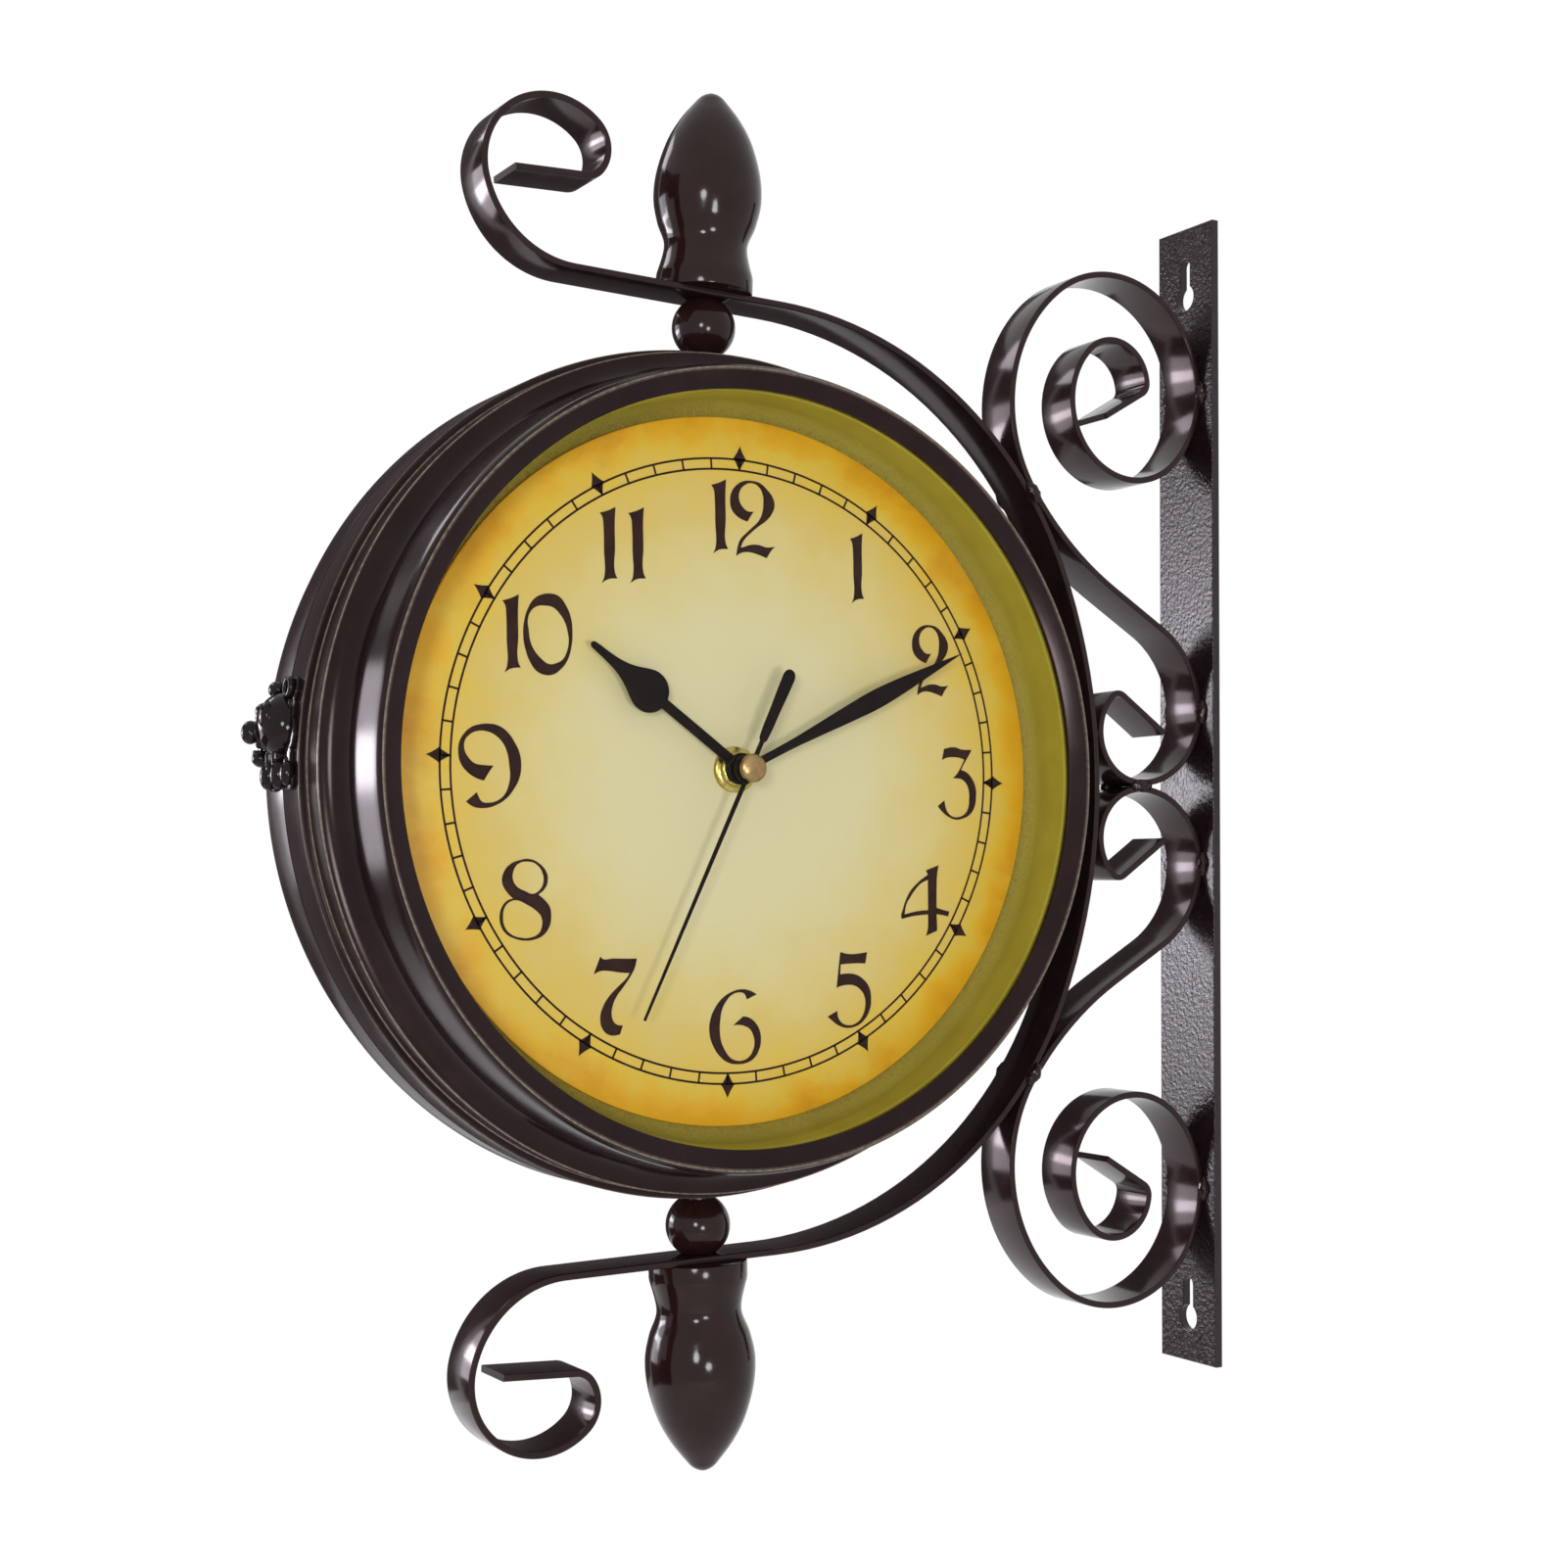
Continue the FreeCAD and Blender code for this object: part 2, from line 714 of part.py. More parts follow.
def minute_hand():
    half = minute_hand_width / 2
    leaf = point(minute_leaf_width / 2, minute_leaf_reach)
    root = point(half, minute_leaf_reach / 3)
    tip = point(0, minute_hand_length)
    outline = [straight(point(0, 0), point(half, 0)), straight(point(half, 0), root)]
    outline.append(curved(root, (root + leaf) * 0.5 - point(half / 3, 0), leaf))
    outline.append(curved(leaf, (leaf + tip) * 0.5 + point(half / 3, 0), tip))
    outline = mirrored_outline(outline)
    shape = hand(outline, minute_hand_height, hand_thickness, minute_hub_radius, minute_tube_radius)
    return shape.rotated(ORIGIN, Y, minute_angle)


def second_hand():
    half = second_hand_width / 2
    paddle = second_paddle_width / 2
    corners = [point(0, second_hand_length), point(half, 0), point(half, -second_paddle_start)]
    corners.append(point(paddle, -second_paddle_start - paddle))
    corners.append(point(paddle, -second_tail_length))
    corners.append(point(0, -second_tail_length))
    outline = [straight(first, last) for first, last in zip(corners, corners[1:])]
    outline = mirrored_outline(outline)
    thickness = second_hand_thickness
    shape = hand(outline, second_hand_height, thickness, second_hub_radius, second_arbor_radius)
    return shape.rotated(ORIGIN, Y, second_angle)


second_hub_front = dial_depth + second_hand_height + second_hand_thickness + hub_front


def hand_cap():
    edge_depth = second_hub_front + cap_height / 2
    dome_rise = cap_height / 2
    dome_radius = (cap_radius ** 2 + dome_rise ** 2) / (2 * dome_rise)
    centre = Vector(0, seam_y - second_hub_front - cap_height + dome_radius, 0)
    dome = Part.makeSphere(dome_radius, centre)
    dome = dome.common(disc(cap_radius, edge_depth, edge_depth + cap_height))
    return fuse_all([disc(cap_radius, second_hub_front, edge_depth), dome])


# Rivets: drawn on the +X side and turned about the case's axis

rivet_inner = rim_inside - rivet_foot_height


def turned_round(shape, degrees, y):
    return shape.rotated(ORIGIN, Y, -degrees).translated(Vector(0, y, 0))


def rivet(leaf, degrees, y):
    face = rim_radius + leaf
    shank = cylinder(rivet_radius, X * rivet_inner, X * face)
    foot = cylinder(rivet_head_radius, X * rivet_inner, X * (rim_inside - running_fit))
    bulge = (rivet_head_radius ** 2 + rivet_head_height ** 2) / (2 * rivet_head_height)
    head = Part.makeSphere(bulge, X * (face + rivet_head_height - bulge))
    head = head.common(cylinder(rivet_head_radius, X * (face + tight_fit / 2), X * (face + bulge)))
    neck = cylinder(rivet_radius, X * face, X * (face + tight_fit))
    return turned_round(fuse_all([shank, foot, neck, head]), degrees, y)


def rivet_hole(degrees, y):
    reach_out = X * (2 * rivet_head_radius)
    hole = rod(rivet_radius + tight_fit, X * rim_radius, reach_out)
    return turned_round(hole, degrees, y)


hinge_rivet_angle = math.degrees(math.asin(hinge_rivet_height / rim_radius))
hinge_rivet_y = hinge_leaf_width - hinge_rivet_inset
clasp_angle = 180 - clasp_raise


def rivet_seats(side):
    height, offset = rear_clasp_rivet_height, rear_clasp_rivet_offset
    if side < 0:
        height, offset = front_clasp_rivet_height, front_clasp_rivet_offset
    swing = math.degrees(math.asin(height / rim_radius))
    hinge_y = seam_y + side * hinge_rivet_y
    clasp_y = seam_y + side * offset
    return [
        (hinge_leaf_thickness, -hinge_rivet_angle, hinge_y),
        (hinge_leaf_thickness, hinge_rivet_angle, hinge_y),
        (clasp_plate_thickness, clasp_angle - swing, clasp_y),
        (clasp_plate_thickness, clasp_angle + swing, clasp_y),
    ]


def rivets(side):
    return Part.makeCompound([rivet(*seat) for seat in rivet_seats(side)])


def drilled(shape, side):
    for leaf, turn, y in rivet_seats(side):
        shape = shape.cut(rivet_hole(turn, y))
    return shape


# Hinge of the case: leaves hug the rim, knuckles stand outside it

hinge_axis = Vector(rim_radius + side_clearance + hinge_knuckle_radius, seam_y, 0)
hinge_knuckle_middle = hinge_half_height / 3


def rim_skin(thickness, low_y, high_y):
    start = Vector(0, low_y, 0)
    return tube(rim_radius + thickness, rim_radius, start, Vector(0, high_y, 0))


def hinge_leaf(side):
    edge = hinge_knuckle_radius + side_clearance
    low_y, high_y = sorted((seam_y + side * edge, seam_y + side * hinge_leaf_width))
    skin = rim_skin(hinge_leaf_thickness, low_y, high_y)
    keep = box(Vector(0, low_y, -hinge_half_height), Vector(2 * rim_radius, high_y, hinge_half_height))
    leaf = skin.common(keep)
    if side < 0:
        spans = [(hinge_knuckle_middle, hinge_half_height), (-hinge_half_height, -hinge_knuckle_middle)]
        bore = hinge_pin_radius + tight_fit
    else:
        inside = hinge_knuckle_middle - side_clearance
        spans = [(-inside, inside)]
        bore = hinge_pin_radius + running_fit
    for low, high in spans:
        knuckle = cylinder(hinge_knuckle_radius, hinge_axis + Z * low, hinge_axis + Z * high)
        low_y, high_y = sorted((seam_y, seam_y + side * (edge + side_clearance)))
        web_low = Vector(rim_radius + side_clearance, low_y, low)
        web = box(web_low, Vector(rim_radius + hinge_leaf_thickness, high_y, high))
        leaf = fuse_all([leaf, knuckle, web])
    leaf = leaf.cut(rod(bore, hinge_axis, Z * hinge_half_height))
    return drilled(leaf, side)


def hinge_pin():
    return rod(hinge_pin_radius, hinge_axis, Z * hinge_half_height)


# Clasp: drawn at nine o'clock, where outwards is -X, then raised round the rim

clasp_face = rim_radius + clasp_plate_thickness
hasp_pin = Vector(-(clasp_face + side_clearance + hasp_knuckle_radius), seam_y + hasp_pin_offset, 0)
front_plate_y = seam_y - clasp_plate_offset
rear_plate_y = seam_y + clasp_plate_offset


def raised(shape):
    return shape.rotated(ORIGIN, Y, clasp_raise)


def peg(radius, y, height):
    return cylinder(radius, Vector(-2 * rim_radius, y, height), Vector(0, y, height))


def clasp_plate(outline, low_y, high_y):
    return rim_skin(clasp_plate_thickness, low_y, high_y).common(fuse_all(outline))


def plate_outline(y):
    neck = box(
        Vector(-2 * rim_radius, y - clasp_toe_radius, -clasp_toe_height),
        Vector(0, y + clasp_toe_radius, clasp_end_height),
    )
    return [peg(clasp_plate_radius, y, 0), neck, peg(clasp_end_radius, y, clasp_end_height)]


def clasp_front_plate():
    outline = plate_outline(front_plate_y)
    toe_shift = clasp_toe_radius - running_fit
    for shift in (-toe_shift / 2, toe_shift / 2):
        outline.append(peg(clasp_toe_radius, front_plate_y + shift, -clasp_toe_height))
    edge = seam_y - side_clearance
    plate = clasp_plate(outline, edge - rim_width + seam_gap, edge)
    plate = plate.cut(peg(clasp_eye_radius, front_plate_y, clasp_end_height))
    keeper_y = seam_y - keeper_offset
    keeper_foot = Vector(-rim_radius - clasp_plate_thickness / 2, keeper_y, 0)
    keeper = cylinder(keeper_radius, keeper_foot, Vector(-clasp_face - keeper_height, keeper_y, 0))
    return drilled(raised(fuse_all([plate, keeper])), -1)


def clasp_rear_plate():
    outline = plate_outline(rear_plate_y)
    outline.append(peg(clasp_toe_radius, rear_plate_y, -clasp_toe_height))
    edge = seam_y + side_clearance
    plate = clasp_plate(outline, edge, edge + rim_width - seam_gap)
    for low in (hasp_knuckle_half + side_clearance, -hasp_pin_half):
        high = low + hasp_pin_half - hasp_knuckle_half - side_clearance
        knuckle = cylinder(hasp_knuckle_radius, hasp_pin + Z * low, hasp_pin + Z * high)
        web = box(
            Vector(hasp_pin.x, hasp_pin.y - hasp_knuckle_radius / 2, low),
            Vector(-rim_radius, hasp_pin.y + hasp_knuckle_radius / 2, high),
        )
        web = web.cut(cylinder(rim_radius, ORIGIN, Y * (2 * hasp_pin.y)))
        plate = fuse_all([plate, knuckle, web])
    plate = plate.cut(rod(hasp_pin_radius + tight_fit, hasp_pin, Z * hasp_pin_half))
    return drilled(raised(plate), 1)


def clasp_pin():
    return raised(rod(hasp_pin_radius, hasp_pin, Z * hasp_pin_half))


def clasp_hasp():
    bulge = (hasp_half_width ** 2 + hasp_rise ** 2) / (2 * hasp_rise)
    middle = Vector(bulge - clasp_face - hasp_rise, seam_y + hasp_middle, 0)
    dome = Part.makeSphere(bulge, middle)
    hollow = Part.makeSphere(bulge - hasp_wall, middle)
    skin = rod(clasp_face + side_clearance, SEAM, Y * (2 * rim_width))
    mouth_x = -clasp_face - keeper_height - side_clearance
    mouth_low = Vector(mouth_x, middle.y - 2 * hasp_half_width, -keeper_mouth_half)
    mouth = box(mouth_low, Vector(-rim_inside, middle.y, keeper_mouth_half))
    knuckle = rod(hasp_knuckle_radius, hasp_pin, Z * hasp_knuckle_half)
    knob_shift = hasp_knob_shift - hasp_middle
    knob_rise = math.sqrt(bulge ** 2 - knob_shift ** 2) + hasp_knob_radius / 2
    knob_stalk = Vector(-knob_rise, knob_shift, 0)
    knob = Part.makeSphere(hasp_knob_radius, middle + knob_stalk, knob_stalk)
    shell = fuse_all([dome.cut(skin), knob, knuckle]).cut(hollow).cut(mouth)
    return raised(shell.cut(rod(hasp_pin_radius + running_fit, hasp_pin, Z * hasp_knuckle_half)))


# One face of the clock, as it looks from the front

def face_pieces():
    hour_front = dial_depth + hour_hand_height + hand_thickness + hub_front
    minute_front = dial_depth + minute_hand_height + hand_thickness + hub_front
    pieces = {
        "glass": glass(),
        "dial_pan": dial_pan(),
        "dial": dial(),
        "dial_nut": dial_nut(),
        "movement_case": movement_case(),
        "movement_cover": movement_cover(),
        "battery": battery(),
        "set_knob": set_knob(),
        "hour_hand": hour_hand(),
        "minute_hand": minute_hand(),
        "second_hand": second_hand(),
        "hand_cap": hand_cap(),
    }
    hour_bore = minute_tube_radius + running_fit
    minute_bore = second_arbor_radius + running_fit
    pieces["hour_wheel"] = wheel(hour_wheel_depth, hour_tube_radius, hour_bore, hour_front)
    pieces["minute_wheel"] = wheel(minute_wheel_depth, minute_tube_radius, minute_bore, minute_front)
    pieces["second_wheel"] = second_wheel(second_hub_front)
    return pieces


os.makedirs("parts", exist_ok=True)

arm = main_arm()
scroll = upper_scroll()
plate = wall_plate()
save("main_arm", arm)
save("upper_scroll", scroll)
save("lower_scroll", upside_down(scroll))
save("wall_plate", plate)
save("weld_beads", weld_beads([arm, scroll, upside_down(scroll), plate]))

for piece_name, piece in (("finial", finial()), ("ball", ball()), ("pivot_bolt", pivot_bolt())):
    save("upper_" + piece_name, piece)
    save("lower_" + piece_name, upside_down(piece))

bush_hole = bolt_radius + running_fit + bush_wall + tight_fit
pivot_holes = rod(bush_hole, ORIGIN, Z * (2 * rim_radius))
save("front_case", drilled(case_shell().cut(pivot_holes), -1))
save("rear_case", drilled(to_rear(case_shell()), 1))
save("pivot_bushes", pivot_bushes())
save("front_rivets", rivets(-1))
save("rear_rivets", rivets(1))
save("case_hinge_front_leaf", hinge_leaf(-1))
save("case_hinge_rear_leaf", hinge_leaf(1))
save("case_hinge_pin", hinge_pin())
save("clasp_front_plate", clasp_front_plate())
save("clasp_rear_plate", clasp_rear_plate())
save("clasp_pin", clasp_pin())
save("clasp_hasp", clasp_hasp())

for piece_name, piece in face_pieces().items():
    save("front_" + piece_name, piece)
    save("rear_" + piece_name, to_rear(piece))
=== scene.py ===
import json
import math
import bmesh
import bpy
from mathutils import Matrix, Vector

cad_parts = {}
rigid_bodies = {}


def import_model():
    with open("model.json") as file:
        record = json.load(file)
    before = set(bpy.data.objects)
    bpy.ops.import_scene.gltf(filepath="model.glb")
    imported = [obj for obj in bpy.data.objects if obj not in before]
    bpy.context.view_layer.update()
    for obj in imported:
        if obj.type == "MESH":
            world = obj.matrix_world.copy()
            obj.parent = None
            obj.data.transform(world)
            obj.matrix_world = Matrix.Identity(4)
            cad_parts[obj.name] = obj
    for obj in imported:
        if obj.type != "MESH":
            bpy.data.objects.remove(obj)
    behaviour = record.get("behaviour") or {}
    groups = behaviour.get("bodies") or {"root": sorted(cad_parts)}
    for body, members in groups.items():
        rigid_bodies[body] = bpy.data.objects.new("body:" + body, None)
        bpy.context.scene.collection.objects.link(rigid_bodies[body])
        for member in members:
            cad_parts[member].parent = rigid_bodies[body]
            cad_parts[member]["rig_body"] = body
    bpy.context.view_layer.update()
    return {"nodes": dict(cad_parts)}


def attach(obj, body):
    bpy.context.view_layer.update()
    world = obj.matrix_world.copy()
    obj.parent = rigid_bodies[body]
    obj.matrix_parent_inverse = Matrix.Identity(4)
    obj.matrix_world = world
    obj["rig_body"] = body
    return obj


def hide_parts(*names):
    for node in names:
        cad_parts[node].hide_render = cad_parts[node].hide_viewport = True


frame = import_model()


# Wall plate: a flat steel bar that two screws hold to the wall by its keyhole slots.
# It is cut, punched and deburred, then sprayed dark brown over a hammered undercoat.

mm = 0.001
plate_length = 370.0
plate_width = 27.0
plate_thickness = 3.0
plate_edge = 0.35
keyhole_heights = (162.0, -171.0)
keyhole_radius = 4.2
keyhole_slot_radius = 2.3
keyhole_slot_rise = 10.5
paint_relief = 0.3


def shade(red, green, blue):
    parts = [part / 255 for part in (red, green, blue)]
    return tuple(p / 12.92 if p <= 0.04045 else ((p + 0.055) / 1.055) ** 2.4 for p in parts) + (1.0,)


def stood(name, data):
    """A new object at the scene's origin."""
    thing = bpy.data.objects.new(name, data)
    bpy.context.scene.collection.objects.link(thing)
    return thing


def plain_mesh(holder):
    """An object's mesh as its modifiers leave it; the modifiers and the object go."""
    graph = bpy.context.evaluated_depsgraph_get()
    mesh = bpy.data.meshes.new_from_object(holder.evaluated_get(graph), depsgraph=graph)
    holder.modifiers.clear()
    bpy.data.objects.remove(holder)
    return mesh


def mesh_of(work, name):
    mesh = bpy.data.meshes.new(name)
    work.to_mesh(mesh)
    work.free()
    return mesh


def smoothed(mesh, degrees):
    mesh.shade_smooth()
    mesh.set_sharp_from_angle(angle=math.radians(degrees))
    return mesh


def cut_from_sheet(name, outlines, thickness, edge):
    """A flat piece with rounded edges, its face along +Z; outline points are (across, up, sharp)."""
    curve = bpy.data.curves.new(name, "CURVE")
    curve.dimensions = "2D"
    curve.fill_mode = "BOTH"
    curve.resolution_u = 8
    for outline in outlines:
        spline = curve.splines.new("BEZIER")
        spline.bezier_points.add(len(outline) - 1)
        spline.use_cyclic_u = True
        for knot, (across, up, sharp) in zip(spline.bezier_points, outline):
            knot.co = (across * mm, up * mm, 0)
            knot.handle_left_type = "VECTOR" if sharp else "AUTO"
            knot.handle_right_type = "VECTOR" if sharp else "AUTO"
    curve.extrude = (thickness / 2 - edge) * mm
    curve.bevel_depth = edge * mm
    curve.bevel_resolution = 2
    curve.offset = -edge * mm
    work = bmesh.new()
    work.from_mesh(plain_mesh(stood(name, curve)))
    bmesh.ops.remove_doubles(work, verts=work.verts, dist=0.001 * mm)
    bmesh.ops.recalc_face_normals(work, faces=work.faces)
    return smoothed(mesh_of(work, name), 30)


def keyhole(height):
    points = []
    mouth = math.degrees(math.asin(keyhole_slot_radius / keyhole_radius))
    for step in range(25):
        turn = math.radians(90 + mouth + (360 - 2 * mouth) * step / 24)
        points.append((keyhole_radius * math.cos(turn), height + keyhole_radius * math.sin(turn), True))
    for step in range(13):
        turn = math.radians(180 * step / 12)
        up = height + keyhole_slot_rise + keyhole_slot_radius * math.sin(turn)
        points.append((keyhole_slot_radius * math.cos(turn), up, True))
    return points


def wire(node, values):
    """Sets a node's properties and inputs; an output, or another node by its first one, feeds an input."""
    for label, value in values.items():
        if isinstance(value, bpy.types.Node):
            value = next(output for output in value.outputs if output.enabled)
        if isinstance(value, bpy.types.NodeSocket):
            node.id_data.links.new(value, node.inputs[label])
        elif isinstance(label, int) or label in node.inputs:
            node.inputs[label].default_value = value
        else:
            setattr(node, label, value)
    return node


def node_in(tree, kind, values=None):
    return wire(tree.nodes.new(kind), values or {})


def coloured(ramp, stops):
    """Gives a colour ramp its stops, each a position and a colour."""
    elements = ramp.color_ramp.elements
    elements[0].position, elements[0].color = stops[0]
    elements[1].position, elements[1].color = stops[-1]
    for position, colour in stops[1:-1]:
        elements.new(position).color = colour
    return ramp


def shader_of(material):
    return material.node_tree.nodes["Principled BSDF"]


def finish(name, dark, light, patch, roughness, skin, relief,
           metal=0.0, gloss=0.5, sheen=(1, 1, 1, 1), rubbed=None):
    """Two tones in patches, a range of roughness and a fine relief, all on the object's own coordinates.

    A second colour shows where the mesh carries a value for wear and painted light: rubbed paint with painted
    highlights on the case's edges, and painted shade in the pan's corner.
    """
    material = bpy.data.materials.new(name)
    material.use_nodes = True
    tree = material.node_tree
    place = node_in(tree, "ShaderNodeTexCoord").outputs["Object"]
    cloud = node_in(tree, "ShaderNodeTexNoise", {
        "Vector": place, "Scale": patch, "Detail": 5, "Roughness": 0.65})
    grain = node_in(tree, "ShaderNodeTexNoise", {"Vector": place, "Scale": skin, "Detail": 3})
    tones = coloured(node_in(tree, "ShaderNodeValToRGB", {"Fac": cloud}), [(0.32, dark), (0.72, light)])
    # The second colour paints rubbed paint, painted highlight and painted shade wherever the mesh carries
    # their value.
    if rubbed:
        wear = node_in(tree, "ShaderNodeAttribute", {"attribute_name": "wear"}).outputs["Fac"]
        patchy = node_in(tree, "ShaderNodeMath", {"operation": "MULTIPLY", 0: wear, 1: grain})
        wear_and_light_share = node_in(tree, "ShaderNodeMapRange", {"Value": patchy, "From Max": 0.6})
        tones = node_in(tree, "ShaderNodeMix", {
            "data_type": "RGBA", "Factor": wear_and_light_share, "A": tones, "B": rubbed})
    spread = node_in(tree, "ShaderNodeMapRange", {
        "Value": cloud, "From Min": 0.3, "From Max": 0.7, "To Min": roughness[0], "To Max": roughness[1]})
    bump = node_in(tree, "ShaderNodeBump", {
        "Height": grain, "Strength": relief, "Distance": paint_relief * mm})
    wire(shader_of(material), {
        "Metallic": metal, "Specular IOR Level": gloss, "Specular Tint": sheen,
        "Base Color": tones, "Roughness": spread, "Normal": bump})
    return material


def lay(name, mesh, material, body):
    """A finished piece that rides on a body."""
    mesh.materials.clear()
    mesh.materials.append(material)
    piece = stood(name, mesh)
    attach(piece, body)
    return piece


def fit(node, how, mesh, material):
    """A finished piece that takes the place of its node and rides on that node's body."""
    piece = lay(node + "_" + how, mesh, material, frame["nodes"][node]["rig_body"])
    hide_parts(node)


half_width = plate_width / 2
half_length = plate_length / 2
plate_outline = [
    (-half_width, -half_length, True), (half_width, -half_length, True),
    (half_width, half_length, True), (-half_width, half_length, True)]
plate_outlines = [plate_outline] + [keyhole(height) for height in keyhole_heights]
plate_mesh = smoothed(cut_from_sheet("plate", plate_outlines, plate_thickness, plate_edge), 11)
stand_up = Matrix(((0, 0, 1, 0), (1, 0, 0, 0), (0, 1, 0, 0), (0, 0, 0, 1)))
plate_mesh.transform(Matrix.Translation((-plate_thickness / 2 * mm, 0, 0)) @ stand_up)
hammered_paint = finish(
    "hammered_paint", shade(26, 16, 18), shade(38, 25, 28), 240, (0.17, 0.25), 700, 0.7, gloss=0.34)
fit("wall_plate", "hammered", plate_mesh, hammered_paint)


# Main arm and scrolls: three lengths of 16 x 2 mm steel bar, bent cold round formers into curls.
# Their long edges are slightly rounded by rolling, and they wear the plate's brown in a gloss coat.

reach = 182.0
strip_width = 16.0
strip_thickness = 2.0
strip_edge = 0.45
weld_gap = 0.05
bar_face = strip_thickness / 2


def line(length):
    return (0.0, length)


def arc(radius, turn):
    return (radius, turn)


def heading_vector(heading):
    return Vector((math.cos(math.radians(heading)), 0, math.sin(math.radians(heading))))


def left_of(heading):
    return heading_vector(heading + 90)


def below(point):
    """The same point of the bracket's lower half."""
    return Vector((point.x, 0, -point.z))


def bend_path(start, heading, runs):
    """Points along straight runs and tangent bends, with the last point's heading."""
    points = [start]
    for radius, amount in runs:
        if radius == 0:
            points.append(points[-1] + heading_vector(heading) * amount)
            continue
        side = math.copysign(radius, amount)
        centre = points[-1] + left_of(heading) * side
        steps = max(4, math.ceil(abs(amount) / 2.5))
        for step in range(1, steps + 1):
            points.append(centre - left_of(heading + amount * step / steps) * side)
        heading = heading + amount
    return points, heading


pivot = Vector((0, 0, 138.8))
pivot_slope = 2.0
shoulder_radius = 114.0
shoulder_turn = 65.0
shoulder_run = 22.0
shoulder_start = pivot + heading_vector(-pivot_slope) * shoulder_run
shoulder_centre = shoulder_start - left_of(-pivot_slope) * shoulder_radius
shoulder_end = math.radians(pivot_slope + shoulder_turn)
back_radius = shoulder_centre.z / math.cos(shoulder_end) + shoulder_radius
back_turn = 90 - pivot_slope - shoulder_turn
back_x = shoulder_centre.x + shoulder_radius * math.sin(shoulder_end)
back_x = back_x + back_radius * (1 - math.sin(shoulder_end))
arm_half = [
    arc(back_radius, back_turn), arc(shoulder_radius, shoulder_turn), line(66.5),
    arc(29.0, -75.0), arc(20.5, -145.0), arc(10.0, -87.0), arc(5.5, -49.0), line(22.0)]
upper_arm = bend_path(Vector((back_x, 0, 0)), 90, arm_half)[0]
lower_arm = [below(point) for point in reversed(upper_arm[1:])]
arm_path = lower_arm + upper_arm

plate_face = reach - plate_thickness
bar_at_plate = plate_face - bar_face - weld_gap
weld_direction = 35.0
weld_ray = heading_vector(weld_direction)
weld_start = shoulder_centre + weld_ray * (shoulder_radius + strip_thickness + weld_gap)
eye_path, eye_heading = bend_path(weld_start, weld_direction + 90, [arc(48.0, -86.0)])
eye_outer_radius = (bar_at_plate - eye_path[-1].x) / (1 + math.sin(math.radians(eye_heading)))
eye_touch = eye_path[-1].z - eye_outer_radius * math.cos(math.radians(eye_heading))
eye_runs = [arc(eye_outer_radius, -173.0), arc(23.7, -181.0), arc(13.3, -130.0), arc(4.0, -64.0), line(17.0)]
eye_path = eye_path + bend_path(eye_path[-1], eye_heading, eye_runs)[0][1:]
brace_path, brace_heading = bend_path(weld_start, weld_direction - 90, [arc(100.0, 24.0)])
heel_radius = 30.0
heel_room = heel_radius * (1 + math.sin(math.radians(brace_heading)))
brace_length = (bar_at_plate - heel_room - brace_path[-1].x) / math.cos(math.radians(brace_heading))
heel_runs = [line(brace_length), arc(heel_radius, -(90 + brace_heading))]
brace_path = brace_path + bend_path(brace_path[-1], brace_heading, heel_runs)[0][1:]
heel = brace_path[-1]
curl_foot_radius = heel.z - bar_face - weld_gap / 2
curl_low = heel.z - curl_foot_radius
curl_foot_x = heel.x - curl_foot_radius
curl_gap = 0.3
arm_room = back_radius + strip_thickness + curl_gap
curl_room = (curl_foot_x - back_x + back_radius) ** 2 + curl_low ** 2 - arm_room ** 2
curl_side_radius = curl_room / (arm_room - curl_low) / 2
curl_runs = [arc(curl_foot_radius, -90), arc(curl_side_radius, -135.0), arc(3.5, -80.0), line(19.5)]
brace_path = brace_path + bend_path(heel, -90, curl_runs)[0][1:]
scroll_path = list(reversed(eye_path)) + brace_path[1:]
lower_scroll_path = [below(point) for point in scroll_path]


def new_tree(name, **inputs):
    """A node tree with named inputs of the given kinds, and the outputs of its input node."""
    tree = bpy.data.node_groups.new(name, "GeometryNodeTree")
    for label, kind in {"Geometry": "Geometry", **inputs}.items():
        tree.interface.new_socket(name=label, in_out="INPUT", socket_type="NodeSocket" + kind)
    tree.interface.new_socket(name="Geometry", in_out="OUTPUT", socket_type="NodeSocketGeometry")
    return tree, tree.nodes.new("NodeGroupInput").outputs


def end_tree(tree, geometry, material):
    """Makes instances real, gives the result its material and ends the tree."""
    real = node_in(tree, "GeometryNodeRealizeInstances", {"Geometry": geometry})
    coated = node_in(tree, "GeometryNodeSetMaterial", {"Geometry": real, "Material": material})
    node_in(tree, "NodeGroupOutput", {"Geometry": coated})


def grown(name, data, tree, **settings):
    """Runs a node tree on some data and gives back the plain mesh."""
    holder = stood(name, data)
    modifier = holder.modifiers.new(name, "NODES")
    modifier.node_group = tree
    for item in tree.interface.items_tree:
        if item.in_out == "INPUT" and item.name in settings:
            modifier[item.identifier] = settings[item.name]
    return plain_mesh(holder)


bar_tree, given = new_tree("bent_bar", Width="Float", Thickness="Float", Edge="Float", Paint="Material")
middle_line = node_in(bar_tree, "GeometryNodeMeshToCurve", {"Mesh": given["Geometry"]})
facing = node_in(bar_tree, "GeometryNodeSetCurveNormal", {
    "mode": "FREE", "Normal": (0, 1, 0), "Curve": middle_line})
section = node_in(bar_tree, "GeometryNodeCurvePrimitiveQuadrilateral", {
    "Width": given["Width"], "Height": given["Thickness"]})
rolled = node_in(bar_tree, "GeometryNodeFilletCurve", {
    "mode": "POLY", "Count": 4, "Curve": section, "Radius": given["Edge"]})
swept = node_in(bar_tree, "GeometryNodeCurveToMesh", {
    "Fill Caps": True, "Curve": facing, "Profile Curve": rolled})
end_tree(bar_tree, swept, given["Paint"])

